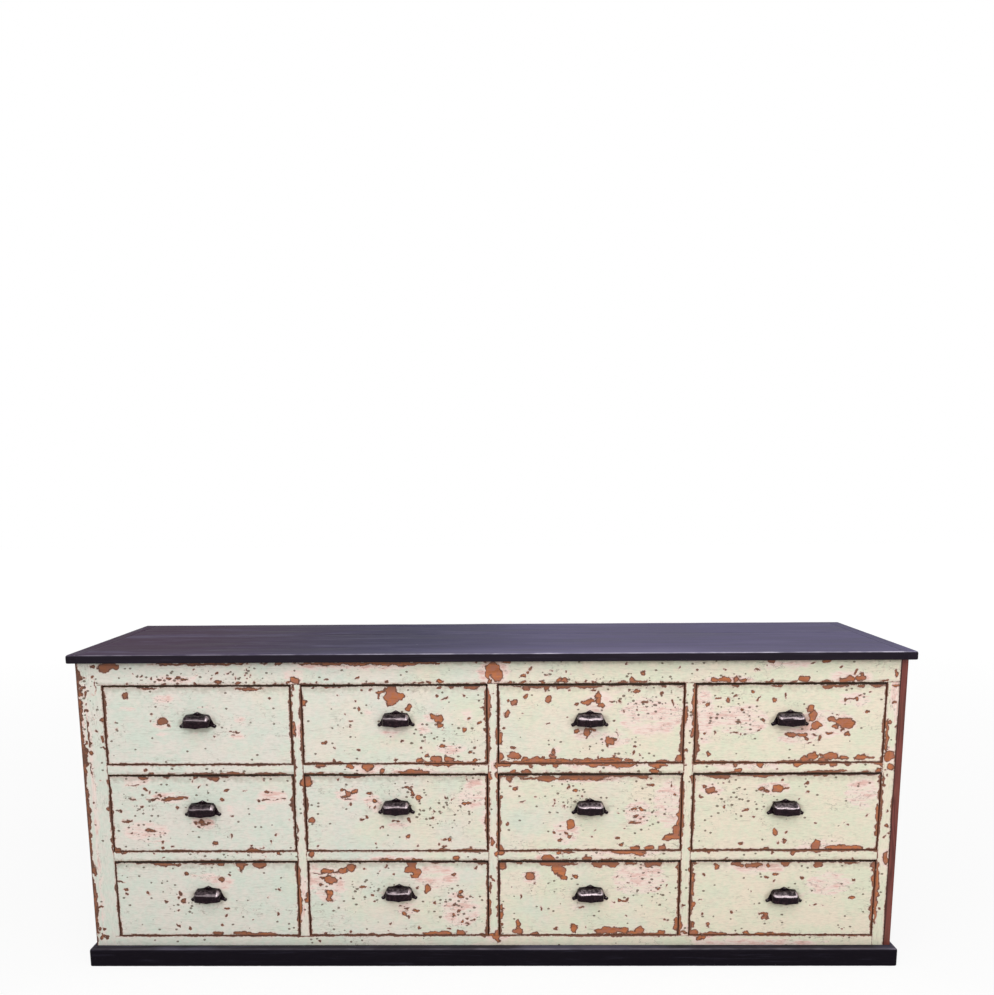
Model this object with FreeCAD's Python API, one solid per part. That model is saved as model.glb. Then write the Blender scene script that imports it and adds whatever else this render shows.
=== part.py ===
import FreeCAD, Part

import os

# A long shop counter: a bank of twelve drawers, four wide and three high, under one plank top.
# Millimetres. X runs along the counter, Y from its front to its back, Z up.
# The origin is on the floor, at the centre of the space that the counter takes up.

# ---------------------------------------------------------------- driving dimensions
# Rows and columns. Row 1 is the top row, and column 1 is the left one, seen from the front.
COLUMNS = 4
ROWS = 3
OUTER_COLUMN_WIDTH = 477.0       # opening of the first and the last column
INNER_COLUMN_WIDTH = 470.0       # opening of the columns between them
ROW_HEIGHT = 207.0               # opening of every row
DIVIDER_WIDTH = 25.5             # upright between two columns, and the partition behind it
CROSS_RAIL_HEIGHT = 26.0         # rail between two rows
BOTTOM_RAIL_SHOWING = 26.0       # what shows of the bottom rail above the plinth
TOP_RAIL_HEIGHT = 61.0

# Carcass
SIDE_THICKNESS = 18.0
LEFT_STILE_WIDTH = 33.0
FILLER_WIDTH = 12.0              # strip that closes the left stile up to the first column
RIGHT_STILE_WIDTH = 30.5
FRAME_THICKNESS = 22.0           # stiles, top rail and uprights, front to back
RAIL_DEPTH = 60.0                # cross rails and bottom rail, front to back
BODY_DEPTH = 495.0
BOTTOM_THICKNESS = 18.0
BACK_THICKNESS = 12.0
BACK_REBATE = 9.0                # how far the back boards lie in the sides
BACK_BOARDS = 14
BACK_BOARD_GAP = 1.0
BACK_BOARD_CHAMFER = 2.0
SIDE_ARRIS = 1.5

# Top
TOP_THICKNESS = 22.0
FRONT_OVERHANG = 25.0            # of the top and of the plinth
TOP_SIDE_OVERHANG = 14.0
PLINTH_SIDE_OVERHANG = 12.0
END_LIPPING_WIDTH = 37.0         # cross piece at each end of the top
BACK_PLANK_WIDTH = 209.0         # the rear one of the two planks
LIPPING_TONGUE_THICKNESS = 8.0
LIPPING_TONGUE_LENGTH = 10.0
LIPPING_TONGUE_STOP = 25.0       # the tongue ends this far from the front and the back
TOP_CORNER_RADIUS = 9.0
TOP_NOSING_RADIUS = 7.0
TOP_UNDER_RADIUS = 2.5

# Plinth
PLINTH_HEIGHT = 46.0
PLINTH_CORNER_RADIUS = 9.0
PLINTH_ARRIS_RADIUS = 7.0
BEARER_WIDTH = 60.0
END_BEARER_WIDTH = 40.0

# Drawer runners
RUNNER_LEDGE = 30.0              # how far a runner reaches under its drawer
KICKER_HEIGHT = 26.0
GUIDE_HEIGHT = 30.0
STOP_WIDTH = 30.0
STOP_LENGTH = 25.0
STOP_HEIGHT = 6.0
STOP_INSET = 60.0                # from the side of the opening

# Drawers
DRAWER_GAP_SIDE = 2.8
DRAWER_GAP_TOP = 3.6
DRAWER_GAP_BOTTOM = 2.2
RUNNING_CLEARANCE = 0.3          # drawer over its runner, and front before its stops
DRAWER_BACK_SPACE = 23.0         # left free behind a closed drawer
DRAWER_FRONT_THICKNESS = 20.0
DRAWER_FRONT_ARRIS = 1.6
DRAWER_SIDE_THICKNESS = 12.0
DRAWER_SIDE_DROP = 6.0           # sides below the top of the front
DRAWER_BACK_THICKNESS = 12.0
DRAWER_BACK_DROP = 15.0          # back below the top of the sides
DRAWER_BOTTOM_THICKNESS = 6.0
DRAWER_BOTTOM_RISE = 8.0         # underside of the bottom over the lower edge of the sides
DRAWER_GROOVE_DEPTH = 5.0
DOVETAILS = 4
DOVETAIL_LAP = 14.0              # how deep the tails go into the front
DOVETAIL_ROOT_SHARE = 0.46       # width of a tail at its root and at its end, in one pitch
DOVETAIL_END_SHARE = 0.62

# Cup pulls
PULL_RISE = 12.0                 # over the middle of the drawer front
# The pulls were put on by eye. (row, column): how far one sits to the right, and higher
PULL_SHIFTS = {(1, 2): (4.0, 2.0), (1, 3): (-3.0, 0.0), (2, 2): (0.0, 4.5), (2, 3): (0.0, 2.5),
               (2, 4): (-1.5, 0.0), (3, 1): (2.5, 0.5), (3, 2): (2.0, 5.0), (3, 3): (3.0, 2.0),
               (3, 4): (5.0, -4.5)}
PULL_PROJECTION = 24.0
PULL_WALL = 2.2
HOOD_WIDTH = 68.0
HOOD_CROWN_RADIUS = 18.4         # curve from the face of the hood up to the drawer
HOOD_CROWN_LEVEL = -2.0          # where the upright face turns into the curve
HOOD_END_RADIUS = 10.0
LIP_LEVEL = -12.5                # lower edge of the hood at its ends
LIP_DIP = 3.0                    # how much lower it is at the middle
FLANGE_THICKNESS = 1.6
FLANGE_MARGIN = 2.0              # what shows of the flange round the hood
LUG_RISE = 6.0                   # peak of the top lug over the flange
LUG_HALF_WIDTH = 12.0
EAR_SPAN = 94.0
EAR_LEVEL = -13.0                # of the two lower screws
EAR_HEIGHT = 11.0
EAR_FLARE = 5.0                  # how far the flange spreads before it turns into an ear
FLANGE_CORNER_RADIUS = 2.0
SCREW_HEAD_RADIUS = 3.0
SCREW_HEAD_HEIGHT = 1.5
SCREW_HEAD_ROUNDING = 1.1
SCREW_SLOT_WIDTH = 0.8
SCREW_SLOT_DEPTH = 0.7
SCREW_RADIUS = 1.4
SCREW_LENGTH = 12.0              # in the wood
SCREW_HOLE_CLEARANCE = 0.15
EAR_SCREW_INSET = 5.0            # ear screws from the ends of the ears

# ---------------------------------------------------------------- levels and places
COLUMN_WIDTHS = [OUTER_COLUMN_WIDTH]
COLUMN_WIDTHS += [INNER_COLUMN_WIDTH] * (COLUMNS - 2)
COLUMN_WIDTHS += [OUTER_COLUMN_WIDTH]

LEFT_MARGIN = SIDE_THICKNESS + LEFT_STILE_WIDTH + FILLER_WIDTH
RIGHT_MARGIN = SIDE_THICKNESS + RIGHT_STILE_WIDTH
FRONT_WIDTH = sum(COLUMN_WIDTHS) + (COLUMNS - 1) * DIVIDER_WIDTH
BODY_WIDTH = LEFT_MARGIN + FRONT_WIDTH + RIGHT_MARGIN
TOP_LENGTH = BODY_WIDTH + 2 * TOP_SIDE_OVERHANG
PLINTH_LENGTH = BODY_WIDTH + 2 * PLINTH_SIDE_OVERHANG
TOP_DEPTH = BODY_DEPTH + FRONT_OVERHANG

Y_BACK = TOP_DEPTH / 2
Y_TOP_FRONT = -TOP_DEPTH / 2
Y_FRONT = Y_TOP_FRONT + FRONT_OVERHANG            # front of the face frame
Y_FRAME_BACK = Y_FRONT + FRAME_THICKNESS
Y_RAIL_BACK = Y_FRONT + RAIL_DEPTH
Y_INSIDE_BACK = Y_BACK - BACK_THICKNESS

X_LEFT = -BODY_WIDTH / 2                          # outside of the left side
X_RIGHT = BODY_WIDTH / 2
X_INSIDE_LEFT = X_LEFT + SIDE_THICKNESS
X_INSIDE_RIGHT = X_RIGHT - SIDE_THICKNESS
X_LEFT_STILE = X_INSIDE_LEFT + LEFT_STILE_WIDTH   # inner edge of the left stile
X_FIRST_OPENING = X_LEFT_STILE + FILLER_WIDTH
X_RIGHT_STILE = X_INSIDE_RIGHT - RIGHT_STILE_WIDTH

Z_BOTTOM_BOARD = PLINTH_HEIGHT                    # top face of the bottom board
Z_BOTTOM_UNDER = Z_BOTTOM_BOARD - BOTTOM_THICKNESS
Z_FIRST_OPENING = PLINTH_HEIGHT + BOTTOM_RAIL_SHOWING
Z_TOP_RAIL = Z_FIRST_OPENING + ROWS * ROW_HEIGHT + (ROWS - 1) * CROSS_RAIL_HEIGHT
Z_TOP_UNDER = Z_TOP_RAIL + TOP_RAIL_HEIGHT
Z_TOP = Z_TOP_UNDER + TOP_THICKNESS

Y_DRAWER_INSIDE = Y_FRONT + DRAWER_FRONT_THICKNESS
Y_DRAWER_BACK = Y_INSIDE_BACK - DRAWER_BACK_SPACE
Y_DRAWER_BACK_INSIDE = Y_DRAWER_BACK - DRAWER_BACK_THICKNESS


def opening_left(column):
    """Left edge of a column's openings."""
    return X_FIRST_OPENING + sum(COLUMN_WIDTHS[:column - 1]) + (column - 1) * DIVIDER_WIDTH


def opening_right(column):
    return opening_left(column) + COLUMN_WIDTHS[column - 1]


def opening_bottom(row):
    """Lower edge of a row's openings, which is the level of its runners."""
    return Z_FIRST_OPENING + (ROWS - row) * (ROW_HEIGHT + CROSS_RAIL_HEIGHT)


def wall_left(column):
    """Left wall of the space behind a column: the side of the counter or a partition."""
    return X_INSIDE_LEFT if column == 1 else opening_left(column)


def wall_right(column):
    return X_INSIDE_RIGHT if column == COLUMNS else opening_right(column)


# ---------------------------------------------------------------- helpers
def block(x0, x1, y0, y1, z0, z1):
    return Part.makeBox(x1 - x0, y1 - y0, z1 - z0, FreeCAD.Vector(x0, y0, z0))


def prism_along_y(points, y0, y1):
    """A solid with a straight-sided outline in XZ."""
    outline = Part.makePolygon([FreeCAD.Vector(x, y0, z) for x, z in points + points[:1]])
    return Part.Face(outline).extrude(FreeCAD.Vector(0, y1 - y0, 0))


def prism_along_x(points, x0, x1):
    """A solid with a straight-sided outline in YZ."""
    outline = Part.makePolygon([FreeCAD.Vector(x0, y, z) for y, z in points + points[:1]])
    return Part.Face(outline).extrude(FreeCAD.Vector(x1 - x0, 0, 0))


def edges_where(shape, test):
    """The edges of a shape whose middle and direction pass a test."""
    chosen = []
    for edge in shape.Edges:
        first, last = edge.Vertexes[0].Point, edge.Vertexes[-1].Point
        if test((first + last) / 2, last - first):
            chosen.append(edge)
    return chosen


def near(a, b):
    return abs(a - b) < 1e-3


def export(node, solids):
    """Write one node, of one solid or of several that belong together."""
    shape = solids[0] if len(solids) == 1 else Part.makeCompound(solids)
    shape.exportStep("parts/" + node + ".step")


# ---------------------------------------------------------------- top and plinth
def eased_slab(length, z0, z1, corner_radius, arris_radius):
    """A slab as deep as the counter with round front corners and a round upper edge."""
    slab = block(-length / 2, length / 2, Y_TOP_FRONT, Y_BACK, z0, z1)
    corners = edges_where(slab, lambda mid, way: near(mid.y, Y_TOP_FRONT) and abs(way.z) > 1)
    slab = slab.makeFillet(corner_radius, corners)
    upper = edges_where(slab, lambda mid, way: near(mid.z, z1) and not near(mid.y, Y_BACK))
    return slab.makeFillet(arris_radius, upper)


def top_pieces():
    """Two long planks between two end lippings, tongued together."""
    slab = eased_slab(
        TOP_LENGTH, Z_TOP_UNDER, Z_TOP, TOP_CORNER_RADIUS, TOP_NOSING_RADIUS)
    lower = edges_where(
        slab, lambda mid, way: near(mid.z, Z_TOP_UNDER) and not near(mid.y, Y_BACK))
    slab = slab.makeFillet(TOP_UNDER_RADIUS, lower)

    x_joint = TOP_LENGTH / 2 - END_LIPPING_WIDTH
    y_joint = Y_BACK - BACK_PLANK_WIDTH
    middle = block(-x_joint, x_joint, Y_TOP_FRONT, Y_BACK, Z_TOP_UNDER, Z_TOP)
    z_middle = (Z_TOP_UNDER + Z_TOP) / 2
    x_tongue = x_joint + LIPPING_TONGUE_LENGTH
    tongues = block(
        -x_tongue, x_tongue,
        Y_TOP_FRONT + LIPPING_TONGUE_STOP, Y_BACK - LIPPING_TONGUE_STOP,
        z_middle - LIPPING_TONGUE_THICKNESS / 2, z_middle + LIPPING_TONGUE_THICKNESS / 2)
    board_space = middle.fuse(tongues)
    board = slab.common(board_space).removeSplitter()
    lippings = slab.cut(board_space)
    front_half = block(-TOP_LENGTH, TOP_LENGTH, Y_TOP_FRONT, y_joint, Z_TOP_UNDER, Z_TOP)
    planks = [board.common(front_half).Solids[0], board.cut(front_half).Solids[0]]
    left, right = sorted(lippings.Solids, key=lambda solid: solid.CenterOfMass.x)
    return planks, left, right


def plinth_pieces():
    """Skirting on the front and on both sides, eased as one."""
    skirting = eased_slab(
        PLINTH_LENGTH, 0.0, PLINTH_HEIGHT, PLINTH_CORNER_RADIUS, PLINTH_ARRIS_RADIUS)
    skirting = skirting.cut(block(X_LEFT, X_RIGHT, Y_FRONT, Y_BACK, 0.0, PLINTH_HEIGHT))
    front_space = block(
        -PLINTH_LENGTH, PLINTH_LENGTH, Y_TOP_FRONT, Y_FRONT, 0.0, PLINTH_HEIGHT)
    front = skirting.common(front_space).Solids[0]
    left, right = sorted(
        skirting.cut(front_space).Solids, key=lambda solid: solid.CenterOfMass.x)
    return front, left, right


# ---------------------------------------------------------------- carcass
def side_panel(x0, x1, x_inside):
    """A side, rebated at the back for the back boards."""
    panel = block(x0, x1, Y_FRONT, Y_BACK, 0.0, Z_TOP_UNDER)
    front_edges = edges_where(panel, lambda mid, way: near(mid.y, Y_FRONT) and abs(way.z) > 1)
    panel = panel.makeFillet(SIDE_ARRIS, front_edges)
    rebate = block(
        x_inside - BACK_REBATE, x_inside + BACK_REBATE,
        Y_INSIDE_BACK, Y_BACK, Z_BOTTOM_UNDER, Z_TOP_UNDER)
    return panel.cut(rebate)


def back_boards():
    """Upright boards nailed into the rebates, with their outer edges chamfered."""
    x0 = X_INSIDE_LEFT - BACK_REBATE
    x1 = X_INSIDE_RIGHT + BACK_REBATE
    pitch = (x1 - x0 + BACK_BOARD_GAP) / BACK_BOARDS
    boards = []
    for number in range(BACK_BOARDS):
        left = x0 + number * pitch
        board = block(
            left, left + pitch - BACK_BOARD_GAP,
            Y_INSIDE_BACK, Y_BACK, Z_BOTTOM_UNDER, Z_TOP_UNDER)
        outer = edges_where(board, lambda mid, way: near(mid.y, Y_BACK) and abs(way.z) > 1)
        boards.append(board.makeChamfer(BACK_BOARD_CHAMFER, outer))
    return boards


def bottom_board():
    return block(
        X_INSIDE_LEFT, X_INSIDE_RIGHT, Y_RAIL_BACK, Y_INSIDE_BACK,
        Z_BOTTOM_UNDER, Z_BOTTOM_BOARD)


def bearers():
    """Blocks on the floor under the bottom rail and board: one below each partition
    and one inside each side."""
    spans = [(X_INSIDE_LEFT, X_INSIDE_LEFT + END_BEARER_WIDTH),
             (X_INSIDE_RIGHT - END_BEARER_WIDTH, X_INSIDE_RIGHT)]
    for column in range(1, COLUMNS):
        middle = opening_right(column) + DIVIDER_WIDTH / 2
        spans.append((middle - BEARER_WIDTH / 2, middle + BEARER_WIDTH / 2))
    return [block(x0, x1, Y_FRONT, Y_INSIDE_BACK, 0.0, Z_BOTTOM_UNDER) for x0, x1 in spans]


def partitions():
    """Uprights between the columns, notched over the bottom rail."""
    walls = []
    for column in range(1, COLUMNS):
        x0 = opening_right(column)
        x1 = opening_left(column + 1)
        wall = block(x0, x1, Y_FRAME_BACK, Y_INSIDE_BACK, Z_BOTTOM_BOARD, Z_TOP_UNDER)
        notch = block(x0, x1, Y_FRAME_BACK, Y_RAIL_BACK, Z_BOTTOM_BOARD, Z_FIRST_OPENING)
        walls.append(wall.cut(notch))
    return walls


# ---------------------------------------------------------------- face frame
def left_stile():
    return block(
        X_INSIDE_LEFT, X_LEFT_STILE, Y_FRONT, Y_FRAME_BACK, Z_BOTTOM_UNDER, Z_TOP_UNDER)


def left_filler():
    return block(
        X_LEFT_STILE, X_FIRST_OPENING, Y_FRONT, Y_FRAME_BACK, Z_FIRST_OPENING, Z_TOP_RAIL)


def right_stile():
    return block(
        X_RIGHT_STILE, X_INSIDE_RIGHT, Y_FRONT, Y_FRAME_BACK, Z_BOTTOM_UNDER, Z_TOP_RAIL)


def top_rail():
    """Runs from the left stile over the right stile to the right side."""
    return block(
        X_LEFT_STILE, X_INSIDE_RIGHT, Y_FRONT, Y_FRAME_BACK, Z_TOP_RAIL, Z_TOP_UNDER)


def bottom_rail():
    return block(
        X_LEFT_STILE, X_RIGHT_STILE, Y_FRONT, Y_RAIL_BACK, Z_BOTTOM_UNDER, Z_FIRST_OPENING)


def uprights():
    """Face-frame strips over the front edges of the partitions."""
    return [block(opening_right(column), opening_left(column + 1),
                  Y_FRONT, Y_FRAME_BACK, Z_FIRST_OPENING, Z_TOP_RAIL)
            for column in range(1, COLUMNS)]


def cross_rails(row):
    """The rails under one row, from upright to upright."""
    z1 = opening_bottom(row)
    return [block(opening_left(column), opening_right(column),
                  Y_FRONT, Y_RAIL_BACK, z1 - CROSS_RAIL_HEIGHT, z1)
            for column in range(1, COLUMNS + 1)]


# ---------------------------------------------------------------- what the drawers run on
def side_strips(column, y0, z0, z1):
    """A pair of strips along both walls behind one column, reaching under the drawer."""
    return [block(wall_left(column), opening_left(column) + RUNNER_LEDGE,
                  y0, Y_INSIDE_BACK, z0, z1),
            block(opening_right(column) - RUNNER_LEDGE, wall_right(column),
                  y0, Y_INSIDE_BACK, z0, z1)]


def runners():
    """Each row's runners are also what keeps the row below from tipping."""
    strips = []
    for row in range(1, ROWS + 1):
        z1 = opening_bottom(row)
        z0 = Z_BOTTOM_BOARD if row == ROWS else z1 - CROSS_RAIL_HEIGHT
        for column in range(1, COLUMNS + 1):
            strips += side_strips(column, Y_RAIL_BACK, z0, z1)
    return strips


def kickers():
    """Strips over the top row's drawers, which have no runners above them."""
    strips = []
    for column in range(1, COLUMNS + 1):
        strips += side_strips(column, Y_FRAME_BACK, Z_TOP_RAIL, Z_TOP_RAIL + KICKER_HEIGHT)
    return strips


def guides():
    """Strips that fill the space beside the outer columns' drawers."""
    strips = []
    for row in range(1, ROWS + 1):
        z0 = opening_bottom(row)
        z1 = z0 + GUIDE_HEIGHT
        strips.append(block(
            X_INSIDE_LEFT, X_FIRST_OPENING, Y_RAIL_BACK, Y_INSIDE_BACK, z0, z1))
        strips.append(block(
            X_RIGHT_STILE, X_INSIDE_RIGHT, Y_RAIL_BACK, Y_INSIDE_BACK, z0, z1))
    return strips


def stops():
    """Two blocks on the rail behind each drawer front."""
    y0 = Y_DRAWER_INSIDE + RUNNING_CLEARANCE
    blocks = []
    for row in range(1, ROWS + 1):
        z0 = opening_bottom(row)
        for column in range(1, COLUMNS + 1):
            left = opening_left(column) + STOP_INSET
            right = opening_right(column) - STOP_INSET
            for x0, x1 in ((left, left + STOP_WIDTH), (right - STOP_WIDTH, right)):
                blocks.append(block(x0, x1, y0, y0 + STOP_LENGTH, z0, z0 + STOP_HEIGHT))
    return blocks


# ---------------------------------------------------------------- drawers
def dovetails(x0, z0, z1):
    """The tails at the front end of one drawer side."""
    pitch = (z1 - z0) / DOVETAILS
    y_end = Y_DRAWER_INSIDE - DOVETAIL_LAP
    tails = []
    for number in range(DOVETAILS):
        middle = z0 + (number + 0.5) * pitch
        root = pitch * DOVETAIL_ROOT_SHARE / 2
        end = pitch * DOVETAIL_END_SHARE / 2
        outline = [(Y_DRAWER_INSIDE, middle - root), (Y_DRAWER_INSIDE, middle + root),
                   (y_end, middle + end), (y_end, middle - end)]
        tails.append(prism_along_x(outline, x0, x0 + DRAWER_SIDE_THICKNESS))
    return tails


def pull_place(row, column):
    """Middle of a pull, on the face of its drawer front."""
    x = (opening_left(column) + opening_right(column)) / 2
    z0 = opening_bottom(row) + DRAWER_GAP_BOTTOM
    z1 = opening_bottom(row) + ROW_HEIGHT - DRAWER_GAP_TOP
    right, up = PULL_SHIFTS.get((row, column), (0.0, 0.0))
    return FreeCAD.Vector(x + right, Y_FRONT, (z0 + z1) / 2 + PULL_RISE + up)


def drawer(row, column):
    """The front of one drawer, and its box of two sides, a back and a bottom."""
    x0 = opening_left(column) + DRAWER_GAP_SIDE
    x1 = opening_right(column) - DRAWER_GAP_SIDE
    z_front0 = opening_bottom(row) + DRAWER_GAP_BOTTOM
    z_front1 = opening_bottom(row) + ROW_HEIGHT - DRAWER_GAP_TOP
    z_side0 = opening_bottom(row) + RUNNING_CLEARANCE
    z_side1 = z_front1 - DRAWER_SIDE_DROP
    x_side0 = x0 + DRAWER_SIDE_THICKNESS
    x_side1 = x1 - DRAWER_SIDE_THICKNESS
    z_bottom0 = z_side0 + DRAWER_BOTTOM_RISE
    z_bottom1 = z_bottom0 + DRAWER_BOTTOM_THICKNESS

    bottom = block(
        x_side0 - DRAWER_GROOVE_DEPTH, x_side1 + DRAWER_GROOVE_DEPTH,
        Y_DRAWER_INSIDE, Y_DRAWER_BACK, z_bottom0, z_bottom1)
    bottom = bottom.fuse(block(
        x_side0, x_side1, Y_DRAWER_INSIDE - DRAWER_GROOVE_DEPTH, Y_DRAWER_INSIDE,
        z_bottom0, z_bottom1)).removeSplitter()

    front = block(x0, x1, Y_FRONT, Y_DRAWER_INSIDE, z_front0, z_front1)
    face_edges = edges_where(front, lambda mid, way: near(mid.y, Y_FRONT))
    front = front.makeFillet(DRAWER_FRONT_ARRIS, face_edges)
    tails_left = dovetails(x0, z_side0, z_side1)
    tails_right = dovetails(x_side1, z_side0, z_side1)
    place = pull_place(row, column)
    holes = [Part.makeCylinder(
        SCREW_RADIUS + SCREW_HOLE_CLEARANCE, SCREW_LENGTH, place + spot,
        FreeCAD.Vector(0, 1, 0)) for spot in screw_spots()]
    front = front.cut([bottom] + tails_left + tails_right + holes)

    sides = []
    for x, tails in ((x0, tails_left), (x_side1, tails_right)):
        side = block(
            x, x + DRAWER_SIDE_THICKNESS, Y_DRAWER_INSIDE, Y_DRAWER_BACK, z_side0, z_side1)
        sides.append(side.cut(bottom).fuse(tails).removeSplitter().Solids[0])
    back = block(
        x_side0, x_side1, Y_DRAWER_BACK_INSIDE, Y_DRAWER_BACK,
        z_bottom1, z_side1 - DRAWER_BACK_DROP)
    return front.Solids[0], sides + [back, bottom.Solids[0]]


# ---------------------------------------------------------------- cup pull
# A pull is made at the origin, against the plane Y = 0 and reaching towards -Y.
def screw_spots():
    """The lug screw and the two ear screws, from the middle of the pull."""
    x_ear = EAR_SPAN / 2 - EAR_SCREW_INSET
    return [FreeCAD.Vector(0, 0, flange_top() + LUG_RISE - SCREW_HEAD_RADIUS - FLANGE_MARGIN),
            FreeCAD.Vector(-x_ear, 0, EAR_LEVEL),
            FreeCAD.Vector(x_ear, 0, EAR_LEVEL)]


def flange_top():
    """Level of the flange over the hood."""
    return HOOD_CROWN_LEVEL + HOOD_CROWN_RADIUS + FLANGE_MARGIN


def hood_form(inset, beyond):
    """The rounded block of the hood, shrunk by a wall and run out at the back and below."""
    radius = HOOD_CROWN_RADIUS - inset
    y_face = -(PULL_PROJECTION - inset)
    y_centre = -(PULL_PROJECTION - HOOD_CROWN_RADIUS)
    z_low = LIP_LEVEL - LIP_DIP - beyond
    half_width = HOOD_WIDTH / 2 - inset
    half_root = 0.5 ** 0.5
    x = -half_width

    def at(y, z):
        return FreeCAD.Vector(x, y, z)

    crown_start = at(y_face, HOOD_CROWN_LEVEL)
    crown_middle = at(y_centre - radius * half_root, HOOD_CROWN_LEVEL + radius * half_root)
    crown_end = at(y_centre, HOOD_CROWN_LEVEL + radius)
    back_top = at(beyond, HOOD_CROWN_LEVEL + radius)
    outline = Part.Wire([
        Part.LineSegment(at(beyond, z_low), at(y_face, z_low)).toShape(),
        Part.LineSegment(at(y_face, z_low), crown_start).toShape(),
        Part.Arc(crown_start, crown_middle, crown_end).toShape(),
        Part.LineSegment(crown_end, back_top).toShape(),
        Part.LineSegment(back_top, at(beyond, z_low)).toShape()])
    form = Part.Face(outline).extrude(FreeCAD.Vector(2 * half_width, 0, 0))

    def on_rounded_end(mid, way):
        at_end = near(abs(mid.x), half_width)
        at_back = near(mid.y, beyond)
        below = near(mid.z, z_low)
        return at_end and not at_back and not below

    return form.makeFillet(HOOD_END_RADIUS - inset, edges_where(form, on_rounded_end))


def below_lip():
    """What is cut away under the hood, so that its lip dips to a slight point."""
    x_end = HOOD_WIDTH / 2
    z_point = LIP_LEVEL - LIP_DIP
    z_low = z_point - EAR_HEIGHT
    shoulder = 0.4 * x_end
    z_shoulder = LIP_LEVEL - 0.2 * LIP_DIP

    def at(x, z):
        return FreeCAD.Vector(x, 0, z)

    outline = Part.Wire([
        Part.Arc(at(-x_end, LIP_LEVEL), at(-shoulder, z_shoulder), at(0, z_point)).toShape(),
        Part.Arc(at(0, z_point), at(shoulder, z_shoulder), at(x_end, LIP_LEVEL)).toShape(),
        Part.LineSegment(at(x_end, LIP_LEVEL), at(x_end, z_low)).toShape(),
        Part.LineSegment(at(x_end, z_low), at(-x_end, z_low)).toShape(),
        Part.LineSegment(at(-x_end, z_low), at(-x_end, LIP_LEVEL)).toShape()])
    return Part.Face(outline).extrude(FreeCAD.Vector(0, -2 * PULL_PROJECTION, 0))


def flange():
    """Thin plate round the hood, with a peaked lug over it and an ear at each foot."""
    x_hood = HOOD_WIDTH / 2
    x_edge = x_hood + FLANGE_MARGIN
    x_ear = EAR_SPAN / 2
    z_top = flange_top()
    ear_top = EAR_LEVEL + EAR_HEIGHT / 2
    ear_low = EAR_LEVEL - EAR_HEIGHT / 2
    ear_round = EAR_HEIGHT / 3
    half = [(LUG_HALF_WIDTH, z_top),
            (x_hood - HOOD_END_RADIUS / 2, z_top - FLANGE_MARGIN),
            (x_edge, HOOD_CROWN_LEVEL + HOOD_END_RADIUS / 2),
            (x_edge + EAR_FLARE, ear_top),
            (x_ear, ear_top - ear_round),
            (x_ear, ear_low + ear_round),
            (x_ear - ear_round, ear_low),
            (x_hood, ear_low + ear_round)]
    mirrored = [(-x, z) for x, z in reversed(half)]
    outline = [(0.0, z_top + LUG_RISE)] + half + mirrored
    plate = prism_along_y(outline, 0.0, -FLANGE_THICKNESS)
    corners = edges_where(plate, lambda mid, way: abs(way.y) > FLANGE_THICKNESS / 2)
    return plate.makeFillet(FLANGE_CORNER_RADIUS, corners)


def screw(spot):
    """A round-headed slotted screw whose head lies on the flange."""
    y_seat = -FLANGE_THICKNESS
    forward = FreeCAD.Vector(0, -1, 0)
    seat = FreeCAD.Vector(spot.x, y_seat, spot.z)
    head = Part.makeCylinder(SCREW_HEAD_RADIUS, SCREW_HEAD_HEIGHT, seat, forward)
    rim = edges_where(head, lambda mid, way: near(mid.y, y_seat - SCREW_HEAD_HEIGHT))
    head = head.makeFillet(SCREW_HEAD_ROUNDING, rim)
    slot = block(
        spot.x - SCREW_HEAD_RADIUS, spot.x + SCREW_HEAD_RADIUS,
        y_seat - SCREW_HEAD_HEIGHT, y_seat - SCREW_HEAD_HEIGHT + SCREW_SLOT_DEPTH,
        spot.z - SCREW_SLOT_WIDTH / 2, spot.z + SCREW_SLOT_WIDTH / 2)
    shank = Part.makeCylinder(
        SCREW_RADIUS, FLANGE_THICKNESS + SCREW_LENGTH, seat, FreeCAD.Vector(0, 1, 0))
    return head.cut(slot).fuse(shank).removeSplitter().Solids[0]


def pull():
    """One casting, hollow behind and below, and its three screws."""
    hood = hood_form(0.0, 0.0).cut(below_lip())
    hollow = hood_form(PULL_WALL, PULL_PROJECTION)
    holes = [Part.makeCylinder(
        SCREW_RADIUS + SCREW_HOLE_CLEARANCE, 2 * FLANGE_THICKNESS,
        FreeCAD.Vector(spot.x, -2 * FLANGE_THICKNESS, spot.z), FreeCAD.Vector(0, 1, 0))
        for spot in screw_spots()]
    casting = hood.fuse(flange()).removeSplitter().cut([hollow] + holes)
    return [casting.Solids[0]] + [screw(spot) for spot in screw_spots()]


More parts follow.
